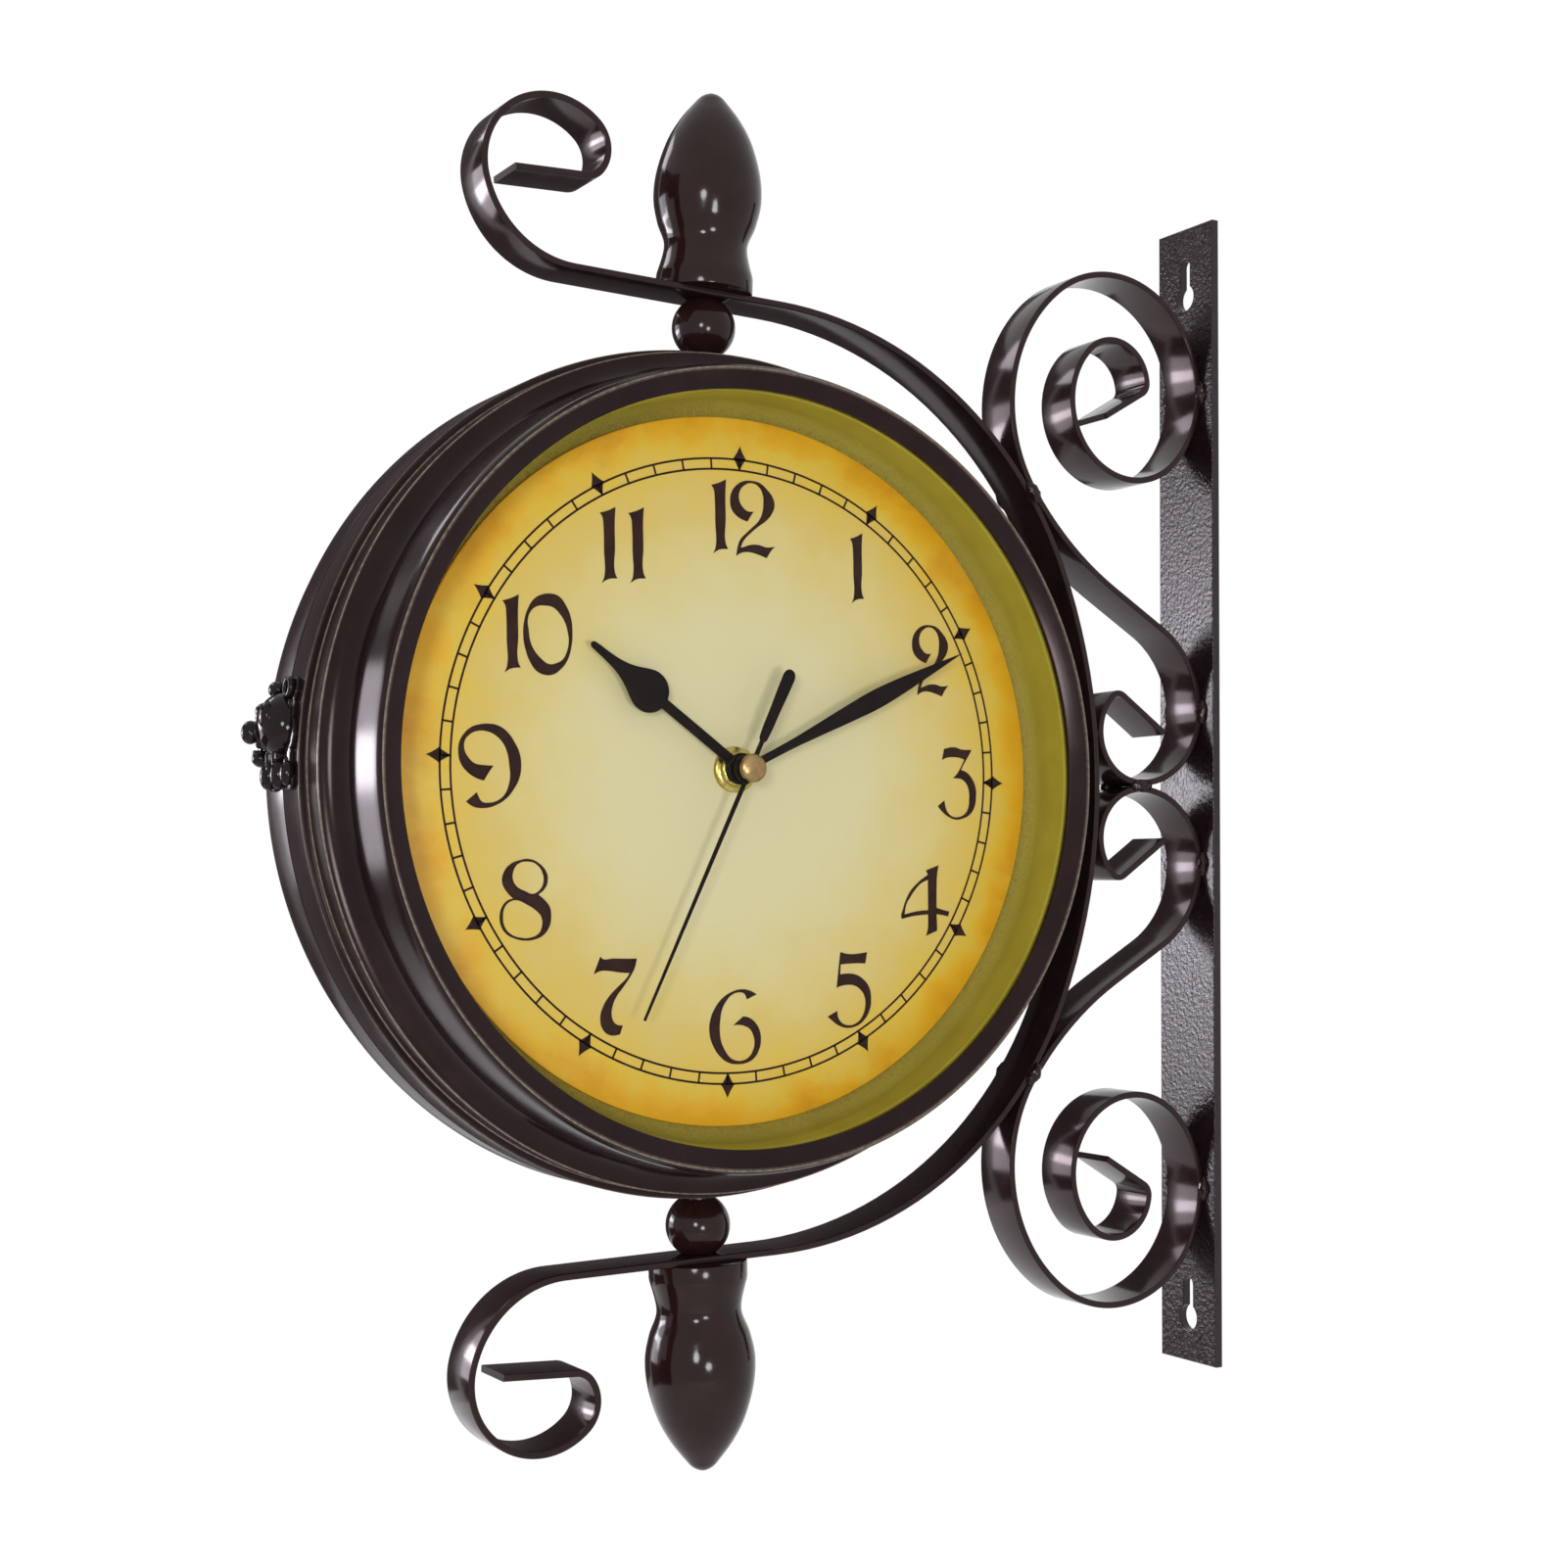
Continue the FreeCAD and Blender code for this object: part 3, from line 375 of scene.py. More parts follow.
warm_sheen = (1.0, 0.8, 0.82, 1.0)
bar_paint = finish(
    "bar_paint", shade(29, 17, 17), shade(41, 26, 26), 90, (0.11, 0.17), 500, 0.012,
    gloss=0.26, sheen=warm_sheen)
bars = {"main_arm": arm_path, "upper_scroll": scroll_path, "lower_scroll": lower_scroll_path}
for node, path in bars.items():
    points = [((p.x - reach) * mm, p.y * mm, p.z * mm) for p in path]
    middle = bpy.data.meshes.new(node)
    middle.from_pydata(points, [(i, i + 1) for i in range(len(points) - 1)], [])
    bar = grown(
        node, middle, bar_tree, Width=strip_width * mm, Thickness=strip_thickness * mm,
        Edge=strip_edge * mm, Paint=bar_paint)
    fit(node, "bent", smoothed(bar, 12), bar_paint)


# Weld beads: short runs of weld at both edges of the bars where scroll, arm and plate meet.
# Left as they set, lumpy and a little longer than wide, and painted over with the bracket.

weld_bead_radius = 2.1
weld_bead_stretch = 1.9
weld_bead_lumps = 1.1
weld_point = shoulder_centre + weld_ray * (shoulder_radius + bar_face)
upper_welds = [
    (weld_point, heading_vector(weld_direction + 90)),
    (Vector((plate_face, 0, eye_touch)), heading_vector(90)),
    (Vector((plate_face, 0, heel.z)), heading_vector(90))]
lower_welds = [(below(point), below(direction)) for point, direction in upper_welds]
weld_spots = upper_welds + lower_welds + [(Vector((curl_foot_x, 0, 0)), heading_vector(0))]

bead_tree, given = new_tree("weld_bead", Radius="Float", Lumps="Float", Paint="Material")
seam = node_in(bead_tree, "GeometryNodeInputNamedAttribute", {"data_type": "FLOAT_VECTOR", "Name": "seam"})
along = node_in(bead_tree, "FunctionNodeAlignRotationToVector", {"axis": "X", "Vector": seam})
drop = node_in(bead_tree, "GeometryNodeMeshIcoSphere", {"Subdivisions": 4, "Radius": given["Radius"]})
beads = node_in(bead_tree, "GeometryNodeInstanceOnPoints", {
    "Points": given["Geometry"], "Instance": drop, "Rotation": along, "Scale": (weld_bead_stretch, 1.0, 1.0)})
real_beads = node_in(bead_tree, "GeometryNodeRealizeInstances", {"Geometry": beads})
unevenness = node_in(bead_tree, "ShaderNodeTexNoise", {"Scale": 520.0, "Detail": 1.0}).outputs["Color"]
centred = node_in(bead_tree, "ShaderNodeVectorMath", {
    "operation": "SUBTRACT", 0: unevenness, 1: (0.5, 0.5, 0.5)})
pushed = node_in(bead_tree, "ShaderNodeVectorMath", {
    "operation": "SCALE", 0: centred, "Scale": given["Lumps"]})
lumpy = node_in(bead_tree, "GeometryNodeSetPosition", {"Geometry": real_beads, "Offset": pushed})
end_tree(bead_tree, lumpy, given["Paint"])

bead_points = []
bead_seams = []
for spot, direction in weld_spots:
    for edge in (-strip_width / 2, strip_width / 2):
        bead_points.append(((spot.x - reach) * mm, edge * mm, spot.z * mm))
        bead_seams.extend(direction)
bead_marks = bpy.data.meshes.new("weld_marks")
bead_marks.from_pydata(bead_points, [], [])
bead_marks.attributes.new("seam", "FLOAT_VECTOR", "POINT").data.foreach_set("vector", bead_seams)
bead_mesh = grown(
    "welds", bead_marks, bead_tree, Radius=weld_bead_radius * mm, Lumps=weld_bead_lumps * mm, Paint=bar_paint)
fit("weld_beads", "lumpy", smoothed(bead_mesh, 180), bar_paint)


# Finials and spacer balls: turned on a lathe from steel bar, drilled for the pivot bolts.
# The finials screw down on the bolts, the balls are strung between the arm and the case.

rim_radius = 121.8
finial_foot = [(0.0, 0.0), (13.8, 0.0), (14.1, 0.12), (14.2, 0.4), (14.2, 4.6), (14.15, 4.85)]
finial_turning = [
    (14.2, 5.0), (12.2, 14.0), (14.5, 21.0), (15.85, 28.0),
    (15.2, 36.0), (12.5, 45.0), (8.8, 51.8), (4.1, 57.8)]
finial_tip = [(4.1, 57.8), (3.2, 58.7), (2.1, 59.4), (1.0, 59.85), (0.0, 60.0)]
ball_radius = 9.3
ball_foot = 122.1
ball_sink = 0.2
ball_top = pivot.z - bar_face + ball_sink


def through(knots, steps):
    """A smooth line through the knots."""
    points = []
    for place in range(len(knots) - 1):
        before = knots[max(place - 1, 0)]
        a, b = knots[place], knots[place + 1]
        after = knots[min(place + 2, len(knots) - 1)]
        for step in range(steps):
            t = step / steps
            weights = (-t + 2 * t * t - t ** 3, 2 - 5 * t * t + 3 * t ** 3)
            weights = weights + (t + 4 * t * t - 3 * t ** 3, -t * t + t ** 3)
            mixed = [sum(w * p[axis] for w, p in zip(weights, (before, a, b, after))) / 2 for axis in (0, 1)]
            points.append(tuple(mixed))
    points.append(knots[-1])
    return points


def turned(name, profile, closed=False, facets=160, crease=30, wear_at=None):
    """A lathe piece about its Z axis; profile points are (radius, height), and an optional function gives
    each point its value for wear and painted light.
    """
    work = bmesh.new()
    wear = work.verts.layers.float.new("wear")
    rings = []
    for radius, height in profile:
        count = facets if radius > 1e-6 else 1
        angles = [2 * math.pi * step / count for step in range(count)]
        places = [(radius * mm * math.cos(a), radius * mm * math.sin(a), height * mm) for a in angles]
        ring = [work.verts.new(place) for place in places]
        for corner in ring:
            corner[wear] = wear_at(radius, height) if wear_at else 0.0
        rings.append(ring)
    pairs = list(zip(rings, rings[1:]))
    if closed:
        pairs.append((rings[-1], rings[0]))
    for low, high in pairs:
        for place in range(facets):
            after = (place + 1) % facets
            corners = [low[place % len(low)], low[after % len(low)]]
            corners = corners + [high[after % len(high)], high[place % len(high)]]
            corners = list(dict.fromkeys(corners))
            if len(corners) > 2:
                work.faces.new(corners)
    bmesh.ops.recalc_face_normals(work, faces=work.faces)
    return smoothed(mesh_of(work, name), crease)


def finial_mesh():
    sides = through(finial_turning, 10)[:-1] + finial_tip
    return turned("finial", finial_foot + sides[1:])


def ball_mesh():
    middle = (ball_top + rim_radius) / 2
    profile = [(0.0, ball_foot)]
    low = math.degrees(math.asin((ball_foot - middle) / ball_radius))
    high = math.degrees(math.asin((ball_top - middle) / ball_radius))
    for step in range(41):
        turn = math.radians(low + (high - low) * step / 40)
        profile.append((ball_radius * math.cos(turn), middle + ball_radius * math.sin(turn)))
    profile.append((0.0, ball_top))
    return turned("ball", profile, facets=96)


def flipped(mesh):
    mesh.transform(Matrix.Diagonal((1, 1, -1, 1)))
    mesh.flip_normals()
    return mesh


turned_paint = finish(
    "turned_paint", shade(32, 16, 15), shade(42, 23, 21), 120, (0.1, 0.15), 700, 0.004, gloss=0.22)
at_pivot = Matrix.Translation((-reach * mm, 0, 0))
seated = Matrix.Translation((0, 0, pivot.z * mm)) @ Matrix.Rotation(math.radians(pivot_slope), 4, "Y")
seated = seated @ Matrix.Translation((0, 0, bar_face * mm))
for end in ("upper", "lower"):
    finial = finial_mesh()
    finial.transform(seated)
    for node, mesh in ((end + "_finial", finial), (end + "_ball", ball_mesh())):
        if end == "lower":
            flipped(mesh)
        mesh.transform(at_pivot)
        fit(node, "turned", mesh, turned_paint)


# Pivot bolts and bushes: hexagon bolts from inside the case and flanged bushes that they turn in.
# Plain zinc-plated steel and brass, bright from the lathe, hidden while the case is shut.

plain_steel = finish(
    "plain_steel", shade(120, 120, 122), shade(168, 168, 170), 300, (0.22, 0.38), 2400, 0.15, metal=1.0)
bush_brass = finish(
    "bush_brass", shade(150, 116, 52), shade(196, 158, 84), 260, (0.2, 0.36), 1500, 0.15, metal=1.0)


def coat(material, *nodes):
    for node in nodes:
        for slot in frame["nodes"][node].material_slots:
            slot.material = material


coat(plain_steel, "upper_pivot_bolt", "lower_pivot_bolt")
coat(bush_brass, "pivot_bushes")


# Case halves: two spun steel shells that meet at a seam, each with a rim, a band, a cove and a barrel.
# The spinning tool leaves fine rings in the metal, which show through the thin gloss coat.

seam_y = 8.0
seam_gap = 0.4
rim_width = 13.0
band_radius = 119.6
band_end = 22.0
cove_radius = 7.1
cove_end = band_end + cove_radius
foot_radius = band_radius - cove_radius
case_depth = 46.6
bezel_radius = 110.7
barrel_bulge = 1.0
aperture_radius = 105.0
lip_front = 44.5
lip_back = 43.434
shell_wall = 1.0
inner_band_end = 21.06
inner_cove_start = 21.2
# Reach and strength of the pale edge marks: rubbed paint, and a painted highlight of the edges' small
# roundings.
wear_and_highlight_reach = 0.42
band_wear_and_sheen = 0.04


def eased(corners):
    """Rounds the corners of a line; each corner is (radius, height, rounding)."""
    points = []
    for before, corner, after in zip([corners[-1]] + corners[:-1], corners, corners[1:] + corners[:1]):
        here = Vector(corner[:2])
        if corner[2] == 0:
            points.append(tuple(here))
            continue
        back = (Vector(before[:2]) - here).normalized()
        ahead = (Vector(after[:2]) - here).normalized()
        opening = back.angle(ahead)
        run = corner[2] / math.tan(opening / 2)
        centre = here + (back + ahead).normalized() * (corner[2] / math.sin(opening / 2))
        start = here + back * run - centre
        sweep = (here + ahead * run - centre).angle_signed(start)
        for step in range(5):
            turn = sweep * step / 4
            x = start.x * math.cos(turn) - start.y * math.sin(turn)
            y = start.x * math.sin(turn) + start.y * math.cos(turn)
            points.append((centre.x + x, centre.y + y))
    return points


def cove_line(radius, low, high, steps):
    """The hollow between band and barrel, from one height to another."""
    points = []
    first = math.asin((cove_end - low) / radius)
    last = math.asin((cove_end - high) / radius)
    for step in range(steps + 1):
        turn = first + (last - first) * step / steps
        points.append((band_radius - radius * math.cos(turn), cove_end - radius * math.sin(turn), 0))
    return points


def barrel_line(low, high, steps):
    """The wide turned face between cove and bezel: nearly straight, with rounded shoulders."""
    points = []
    for step in range(steps + 1):
        t = step / steps
        lift = barrel_bulge * (1 - (2 * t - 1) ** 8)
        points.append((low[0] + (high[0] - low[0]) * t + lift, low[1] + (high[1] - low[1]) * t, 0))
    return points


def case_profile():
    seam = seam_gap / 2
    outer = [
        (rim_radius, seam, 0.3), (rim_radius, rim_width - 0.7, 0), (rim_radius, rim_width, 0.4),
        (band_radius + 0.9, rim_width, 0), (band_radius, rim_width, 0.25),
        (band_radius + 0.35, rim_width + 0.9, 0.2), (band_radius, rim_width + 1.6, 0.2),
        (band_radius, rim_width + 2.4, 0), (band_radius, band_end - 0.6, 0), (band_radius, band_end, 0.3)]
    outer = outer + cove_line(cove_radius, band_end + 0.02, cove_end, 16)
    outer = outer + barrel_line((foot_radius, cove_end), (bezel_radius, case_depth), 32)[1:-1]
    lip = [
        (bezel_radius, case_depth, 0.5), (bezel_radius - 0.95, case_depth - 0.35, 0),
        (aperture_radius, lip_front, 0.25), (aperture_radius, lip_back, 0)]
    lip_slope = (case_depth - lip_front) / (bezel_radius - aperture_radius)
    inner_bezel = bezel_radius - shell_wall
    inner_lip = (inner_bezel, lip_back + (inner_bezel - aperture_radius) * lip_slope)
    inner = barrel_line(inner_lip, (foot_radius - shell_wall, cove_end), 12)
    inner = inner + cove_line(cove_radius + shell_wall, cove_end, inner_cove_start, 8)[1:]
    inner = inner + [
        (band_radius - shell_wall, inner_band_end, 0), (band_radius - shell_wall, rim_width - shell_wall, 0),
        (rim_radius - shell_wall, rim_width - shell_wall, 0), (rim_radius - shell_wall, seam, 0)]
    return eased(outer + lip + inner)


# Pale lines at the turned edges are rubbed paint and a painted highlight that the lamps barely catch on the
# small roundings; the band's faint share is partly a painted sheen.
worn_and_highlit_edges = [
    (rim_radius, rim_width, 0.4), (band_radius + 0.3, rim_width + 1.0, 0.9), (band_radius, band_end, 1.0),
    (bezel_radius - 0.1, case_depth, 0.9)]


def case_wear_and_highlight(radius, height):
    """Full at the turned edges that hands rub, where the pale colour is rubbed paint and also a painted
    highlight on their small roundings; a little over the brushed band between two of them, partly a painted
    sheen.
    """
    on_band = band_wear_and_sheen if radius > band_radius - 0.1 and rim_width + 1.0 < height < band_end else 0.0
    near = [edge_strength * (1 - math.hypot(radius - r, height - h) / wear_and_highlight_reach) for r, h, edge_strength in worn_and_highlit_edges]
    return max([on_band] + near)


def round_place(tree):
    """Where a point is about the clock's axis: its place across, its distance and its depth."""
    place = node_in(tree, "ShaderNodeTexCoord").outputs["Object"]
    centred = node_in(tree, "ShaderNodeMapping", {"Vector": place, "Location": (reach * mm, 0, 0)})
    parts = node_in(tree, "ShaderNodeSeparateXYZ", {"Vector": centred}).outputs
    across = node_in(tree, "ShaderNodeCombineXYZ", {"X": parts["X"], "Y": parts["Z"]})
    radius = node_in(tree, "ShaderNodeVectorMath", {"operation": "LENGTH", 0: across})
    return across, radius, parts["Y"]


def spun_finish(*paint, **shine):
    """Paint over spinning rings, a relief that varies with radius and depth only."""
    material = finish(*paint, **shine)
    tree = material.node_tree
    shader = shader_of(material)
    _, radius, depth = round_place(tree)
    rings = node_in(tree, "ShaderNodeCombineXYZ", {"X": radius, "Y": depth})
    ring_noise = node_in(tree, "ShaderNodeTexNoise", {"Vector": rings, "Scale": 1400, "Detail": 4})
    ring_bump = node_in(tree, "ShaderNodeBump", {
        "Height": ring_noise, "Normal": shader.inputs["Normal"].links[0].from_socket,
        "Strength": 0.05, "Distance": 0.1 * mm})
    wire(shader, {"Normal": ring_bump})
    return material


# Its second, pale colour is the rubbed paint and painted highlight at the worn edges.
case_paint = spun_finish(
    "case_paint", shade(27, 16, 17), shade(38, 24, 25), 60, (0.14, 0.2), 700, 0.012,
    gloss=0.14, sheen=warm_sheen, rubbed=shade(160, 145, 130))
face_out = Matrix.Rotation(math.pi / 2, 4, "X")
at_seam = Matrix.Translation((-reach * mm, seam_y * mm, 0))
sides = {"front": at_seam @ face_out, "rear": at_seam @ Matrix.Rotation(math.pi, 4, "Z") @ face_out}


def turn_both(node, how, profile, material, slot, **lathe):
    """The same turned piece for the front and for the rear."""
    for side, place in sides.items():
        mesh = turned(node, profile, **lathe)
        mesh.transform(place)
        fit(side + "_" + node, how, mesh, material)


turn_both(
    "case", "spun", case_profile(), case_paint, "case_paint", closed=True, facets=288, wear_at=case_wear_and_highlight)


# Hinge and clasp: steel leaves on the rim with a rolled pin, and a clasp of small castings with a domed hasp,
# a knob, a loop and rounded toes. The leaves are pressed, the clasp is blackened, and rivets hold both.

clasp_raise = 3.3
leaf_edge = 0.18
clasp_face = rim_radius + 1.25
melt_grain = 0.26
drum_half = 30.0
hasp_dome = ((0.6, -0.3, 2.4), (6.9, 8.3, 8.8))
hasp_hollow = ((0.6, -0.3, 2.4), (5.5, 6.9, 7.4))
hasp_lumps = [
    hasp_dome, ((6.1, -3.0, 4.4), (1.9, 2.6, 3.6)),
    ((5.6, 3.4, 0.4), (2.2, 2.0, 2.0)), ((7.9, 4.0, 0.0), (2.5, 2.6, 3.2)),
    ((3.2, 9.1, 0.0), (1.9, 1.9, 4.4)), ((2.6, 7.6, 0.0), (1.4, 1.6, 4.0))]
front_lumps = [
    ((1.6, -3.6, -11.0), (2.5, 2.5, 4.0)), ((1.2, -9.0, -10.8), (2.0, 2.2, 3.4)),
    ((1.4, -2.3, -6.0), (2.4, 1.2, 5.0))]
rear_lumps = [
    ((1.6, 5.2, -11.0), (2.5, 2.7, 4.0)), ((1.4, 2.7, -6.0), (2.4, 1.2, 5.0)),
    ((1.0, 4.6, 12.2), (2.6, 3.0, 2.4)),
    ((2.9, 8.8, -6.4), (2.6, 2.6, 2.4)), ((2.9, 8.8, 6.4), (2.6, 2.6, 2.4))]
loop_radius = 2.3
loop_wire = (0.7, 0.9)
loop_place = (1.5, -6.0, 12.2)
at_clasp = at_pivot @ Matrix.Rotation(math.radians(clasp_raise), 4, "Y")


def on_rim(out, back, up):
    """A place on the clasp's side, out from the rim, back from the seam and up."""
    return Matrix.Translation((-(rim_radius + out) * mm, (seam_y + back) * mm, up * mm))


def dressed(node, edge):
    """A merged, smooth copy of a node with its sharp edges rounded."""
    work = bmesh.new()
    work.from_mesh(frame["nodes"][node].data)
    bmesh.ops.remove_doubles(work, verts=work.verts, dist=0.002 * mm)
    bmesh.ops.dissolve_limit(work, angle_limit=math.radians(0.8), verts=work.verts, edges=work.edges)
    holder = stood(node + "_merged", mesh_of(work, node + "_merged"))
    bevel = holder.modifiers.new("edge", "BEVEL")
    bevel.width = edge * mm
    bevel.segments = 2
    bevel.limit_method = "ANGLE"
    bevel.angle_limit = math.radians(38)
    return smoothed(plain_mesh(holder), 34)


def joined(name, meshes):
    work = bmesh.new()
    for mesh in meshes:
        work.from_mesh(mesh)
    return smoothed(mesh_of(work, name), 34)


def lumps(name, shapes):
    """Rounded lumps on the rim, each with a middle and half sizes."""
    work = bmesh.new()
    for middle, half in shapes:
        stretch = on_rim(*middle) @ Matrix.Diagonal((*half, 1))
        bmesh.ops.create_icosphere(work, subdivisions=4, radius=mm, matrix=stretch)
    return stood(name, mesh_of(work, name))


def casting(name, shapes, seat, hollows=()):
    """Lumps melted into one smooth piece, hollowed from below and seated on the rim."""
    body = lumps(name, shapes)
    melt = body.modifiers.new("melt", "REMESH")
    melt.mode = "VOXEL"
    melt.voxel_size = melt_grain * mm
    soften = body.modifiers.new("soften", "SMOOTH")
    soften.iterations = 5
    drum_line = [(0.0, -drum_half), (seat, -drum_half), (seat, drum_half), (0.0, drum_half)]
    drum = turned("drum", drum_line, facets=288)
    drum.transform(Matrix.Translation((0, seam_y * mm, 0)) @ face_out)
    cutters = [stood("drum", drum)]
    if hollows:
        cutters.append(lumps("hollow", hollows))
    for cutter in cutters:
        cut = body.modifiers.new("cut", "BOOLEAN")
        cut.operation = "DIFFERENCE"
        cut.object = cutter
    mesh = plain_mesh(body)
    for cutter in cutters:
        bpy.data.objects.remove(cutter)
    mesh.transform(at_clasp)
    return mesh


def loop_mesh():
    wire_line = []
    for step in range(16):
        turn = 2 * math.pi * step / 16
        wire_line.append((loop_radius + loop_wire[0] * math.cos(turn), loop_wire[1] * math.sin(turn)))
    loop = turned("loop", wire_line, closed=True, facets=48, crease=180)
    loop.transform(at_clasp @ on_rim(*loop_place) @ Matrix.Rotation(math.pi / 2, 4, "Y"))
    return loop


clasp_metal = finish(
    "clasp_metal", shade(20, 12, 13), shade(30, 19, 20), 420, (0.06, 0.12), 900, 0.012, gloss=0.17)
clasp_pieces = {
    "clasp_hasp": [casting("hasp", hasp_lumps, clasp_face, [hasp_hollow])],
    "clasp_front_plate": [
        dressed("clasp_front_plate", leaf_edge), casting("front_toes", front_lumps, rim_radius), loop_mesh()],
    "clasp_rear_plate": [
        dressed("clasp_rear_plate", leaf_edge), casting("rear_toes", rear_lumps, rim_radius)],
    "case_hinge_front_leaf": [dressed("case_hinge_front_leaf", leaf_edge)],
    "case_hinge_rear_leaf": [dressed("case_hinge_rear_leaf", leaf_edge)],
}
for node, meshes in clasp_pieces.items():
    fit(node, "formed", joined(node, meshes), clasp_metal)
coat(plain_steel, "case_hinge_pin", "clasp_pin")


# Rivets: eight small round-headed steel rivets, two through each leaf and plate into the rim.
# The heads are set with a cup tool, so they stand domed and slightly flattened on top.

hinge_leaf = 1.0
clasp_plate = 1.2
head_profile = [
    (0.0, -1.8), (0.8, -1.8), (0.8, 0.0), (1.5, 0.0), (1.48, 0.18), (1.35, 0.42),
    (1.05, 0.63), (0.7, 0.75), (0.35, 0.8), (0.0, 0.8)]
rivet_seat_gap = 0.02


def hinge_seats(up, back):
    """Two places on a hinge leaf, as leaf thickness, turn about the case and distance back from the seam."""
    swing = math.degrees(math.asin(up / rim_radius))
    return [(hinge_leaf, -swing, back), (hinge_leaf, swing, back)]


def clasp_seats(up, back):
    swing = math.degrees(math.asin(up / rim_radius))
    turn = 180 - clasp_raise
    return [(clasp_plate, turn - swing, back), (clasp_plate, turn + swing, back)]


rivet_tree, given = new_tree("rivets", Head="Object", Axis="Vector", Metal="Material")
spot = node_in(rivet_tree, "GeometryNodeInputPosition")
outward = node_in(rivet_tree, "ShaderNodeVectorMath", {"operation": "SUBTRACT", 0: spot, 1: given["Axis"]})
level = node_in(rivet_tree, "ShaderNodeVectorMath", {"operation": "MULTIPLY", 0: outward, 1: (1, 0, 1)})
standing = node_in(rivet_tree, "FunctionNodeAlignRotationToVector", {"axis": "Z", "Vector": level})
head_shape = node_in(rivet_tree, "GeometryNodeObjectInfo", {"Object": given["Head"]}).outputs["Geometry"]
set_heads = node_in(rivet_tree, "GeometryNodeInstanceOnPoints", {
    "Points": given["Geometry"], "Instance": head_shape, "Rotation": standing})
end_tree(rivet_tree, set_heads, given["Metal"])

rivet_head = bpy.data.objects.new("rivet_head", turned("rivet", head_profile, facets=24, crease=50))
rivet_rows = {
    "front": hinge_seats(9.0, -7.5) + clasp_seats(7.7, -7.0),
    "rear": hinge_seats(9.0, 7.5) + clasp_seats(10.2, 6.0),
}
for side, row in rivet_rows.items():
    seats = []
    for leaf, turn, back in row:
        face = rim_radius + leaf + rivet_seat_gap
        x = face * math.cos(math.radians(turn)) - reach
        seats.append((x * mm, (seam_y + back) * mm, face * math.sin(math.radians(turn)) * mm))
    marks = bpy.data.meshes.new(side + "_rivet_marks")
    marks.from_pydata(seats, [], [])
    heads = grown(
        side + "_rivets", marks, rivet_tree, Head=rivet_head, Axis=(-reach * mm, 0, 0), Metal=clasp_metal)
    fit(side + "_rivets", "set", smoothed(heads, 50), clasp_metal)


# Dial pan: a pressed steel dish behind the glass, its wall and floor sprayed olive, with painted shade in the
# corner round the dial.
# It carries the dial and the movement and is clamped between the shell and the glass.

pan_floor = 26.0
pan_wall = 104.8
pan_corner = 4.6
# Where the painted shade lies: a darker olive in the pan's corner round the dial, fading out towards the
# front.
painted_shade_inside = 99.0
painted_shade_top = 31.5
painted_shade_fade = 6.0
pan_profile = [
    (0.0, 24.8), (111.6, 24.8), (111.8, 25.1), (111.6, 26.0), (106.4, 26.0), (106.0, 26.4), (106.0, 41.8),
    (105.4, 41.93), (104.95, 41.85), (pan_wall, 41.6), (pan_wall, 38.0), (pan_wall, 34.5)]
for step in range(13):
    turn = math.radians(90 * step / 12)
    radius = pan_wall - pan_corner + pan_corner * math.cos(turn)
    pan_profile.append((radius, pan_floor + pan_corner - pan_corner * math.sin(turn)))
pan_profile.append((0.0, pan_floor))


def pan_painted_shade(radius, height):
    """Painted shade: darkens the corner round the dial, where the dial and the pan's wall shade it."""
    return max(0.0, min(1.0, (painted_shade_top - height) / painted_shade_fade)) if radius > painted_shade_inside else 0.0


# Its second colour is painted shade, a darker olive laid in the corner round the dial.
pan_paint = finish(
    "pan_paint", shade(160, 149, 46), shade(174, 164, 60), 70, (0.42, 0.58), 1300, 0.12, gloss=0.12,
    rubbed=shade(131, 115, 44))
turn_both("dial_pan", "pressed", pan_profile, pan_paint, "pan_paint", facets=224, wear_at=pan_painted_shade)


# Dial: a stiff printed disc with a cream middle that ages to gold and orange towards its edge.
# The print has a soft mottle like old paper, under a thin satin varnish.

dial_face_depth = 28.0
dial_profile = [
    (4.05, 26.02), (99.7, 26.02), (99.92, 26.15), (100.0, 26.4), (100.0, 27.6), (99.9, 27.88),
    (99.65, dial_face_depth), (75.0, dial_face_depth), (50.0, dial_face_depth), (25.0, dial_face_depth),
    (4.05, dial_face_depth)]
ageing_stops = [
    (0.0, shade(216, 208, 163)), (0.4, shade(216, 207, 160)), (0.5, shade(216, 204, 148)),
    (0.66, shade(215, 197, 126)), (0.74, shade(214, 190, 109)), (0.82, shade(216, 187, 92)),
    (0.91, shade(220, 186, 64)), (0.95, shade(224, 174, 42)), (1.0, shade(220, 164, 24))]
stain_colour = shade(196, 128, 20)


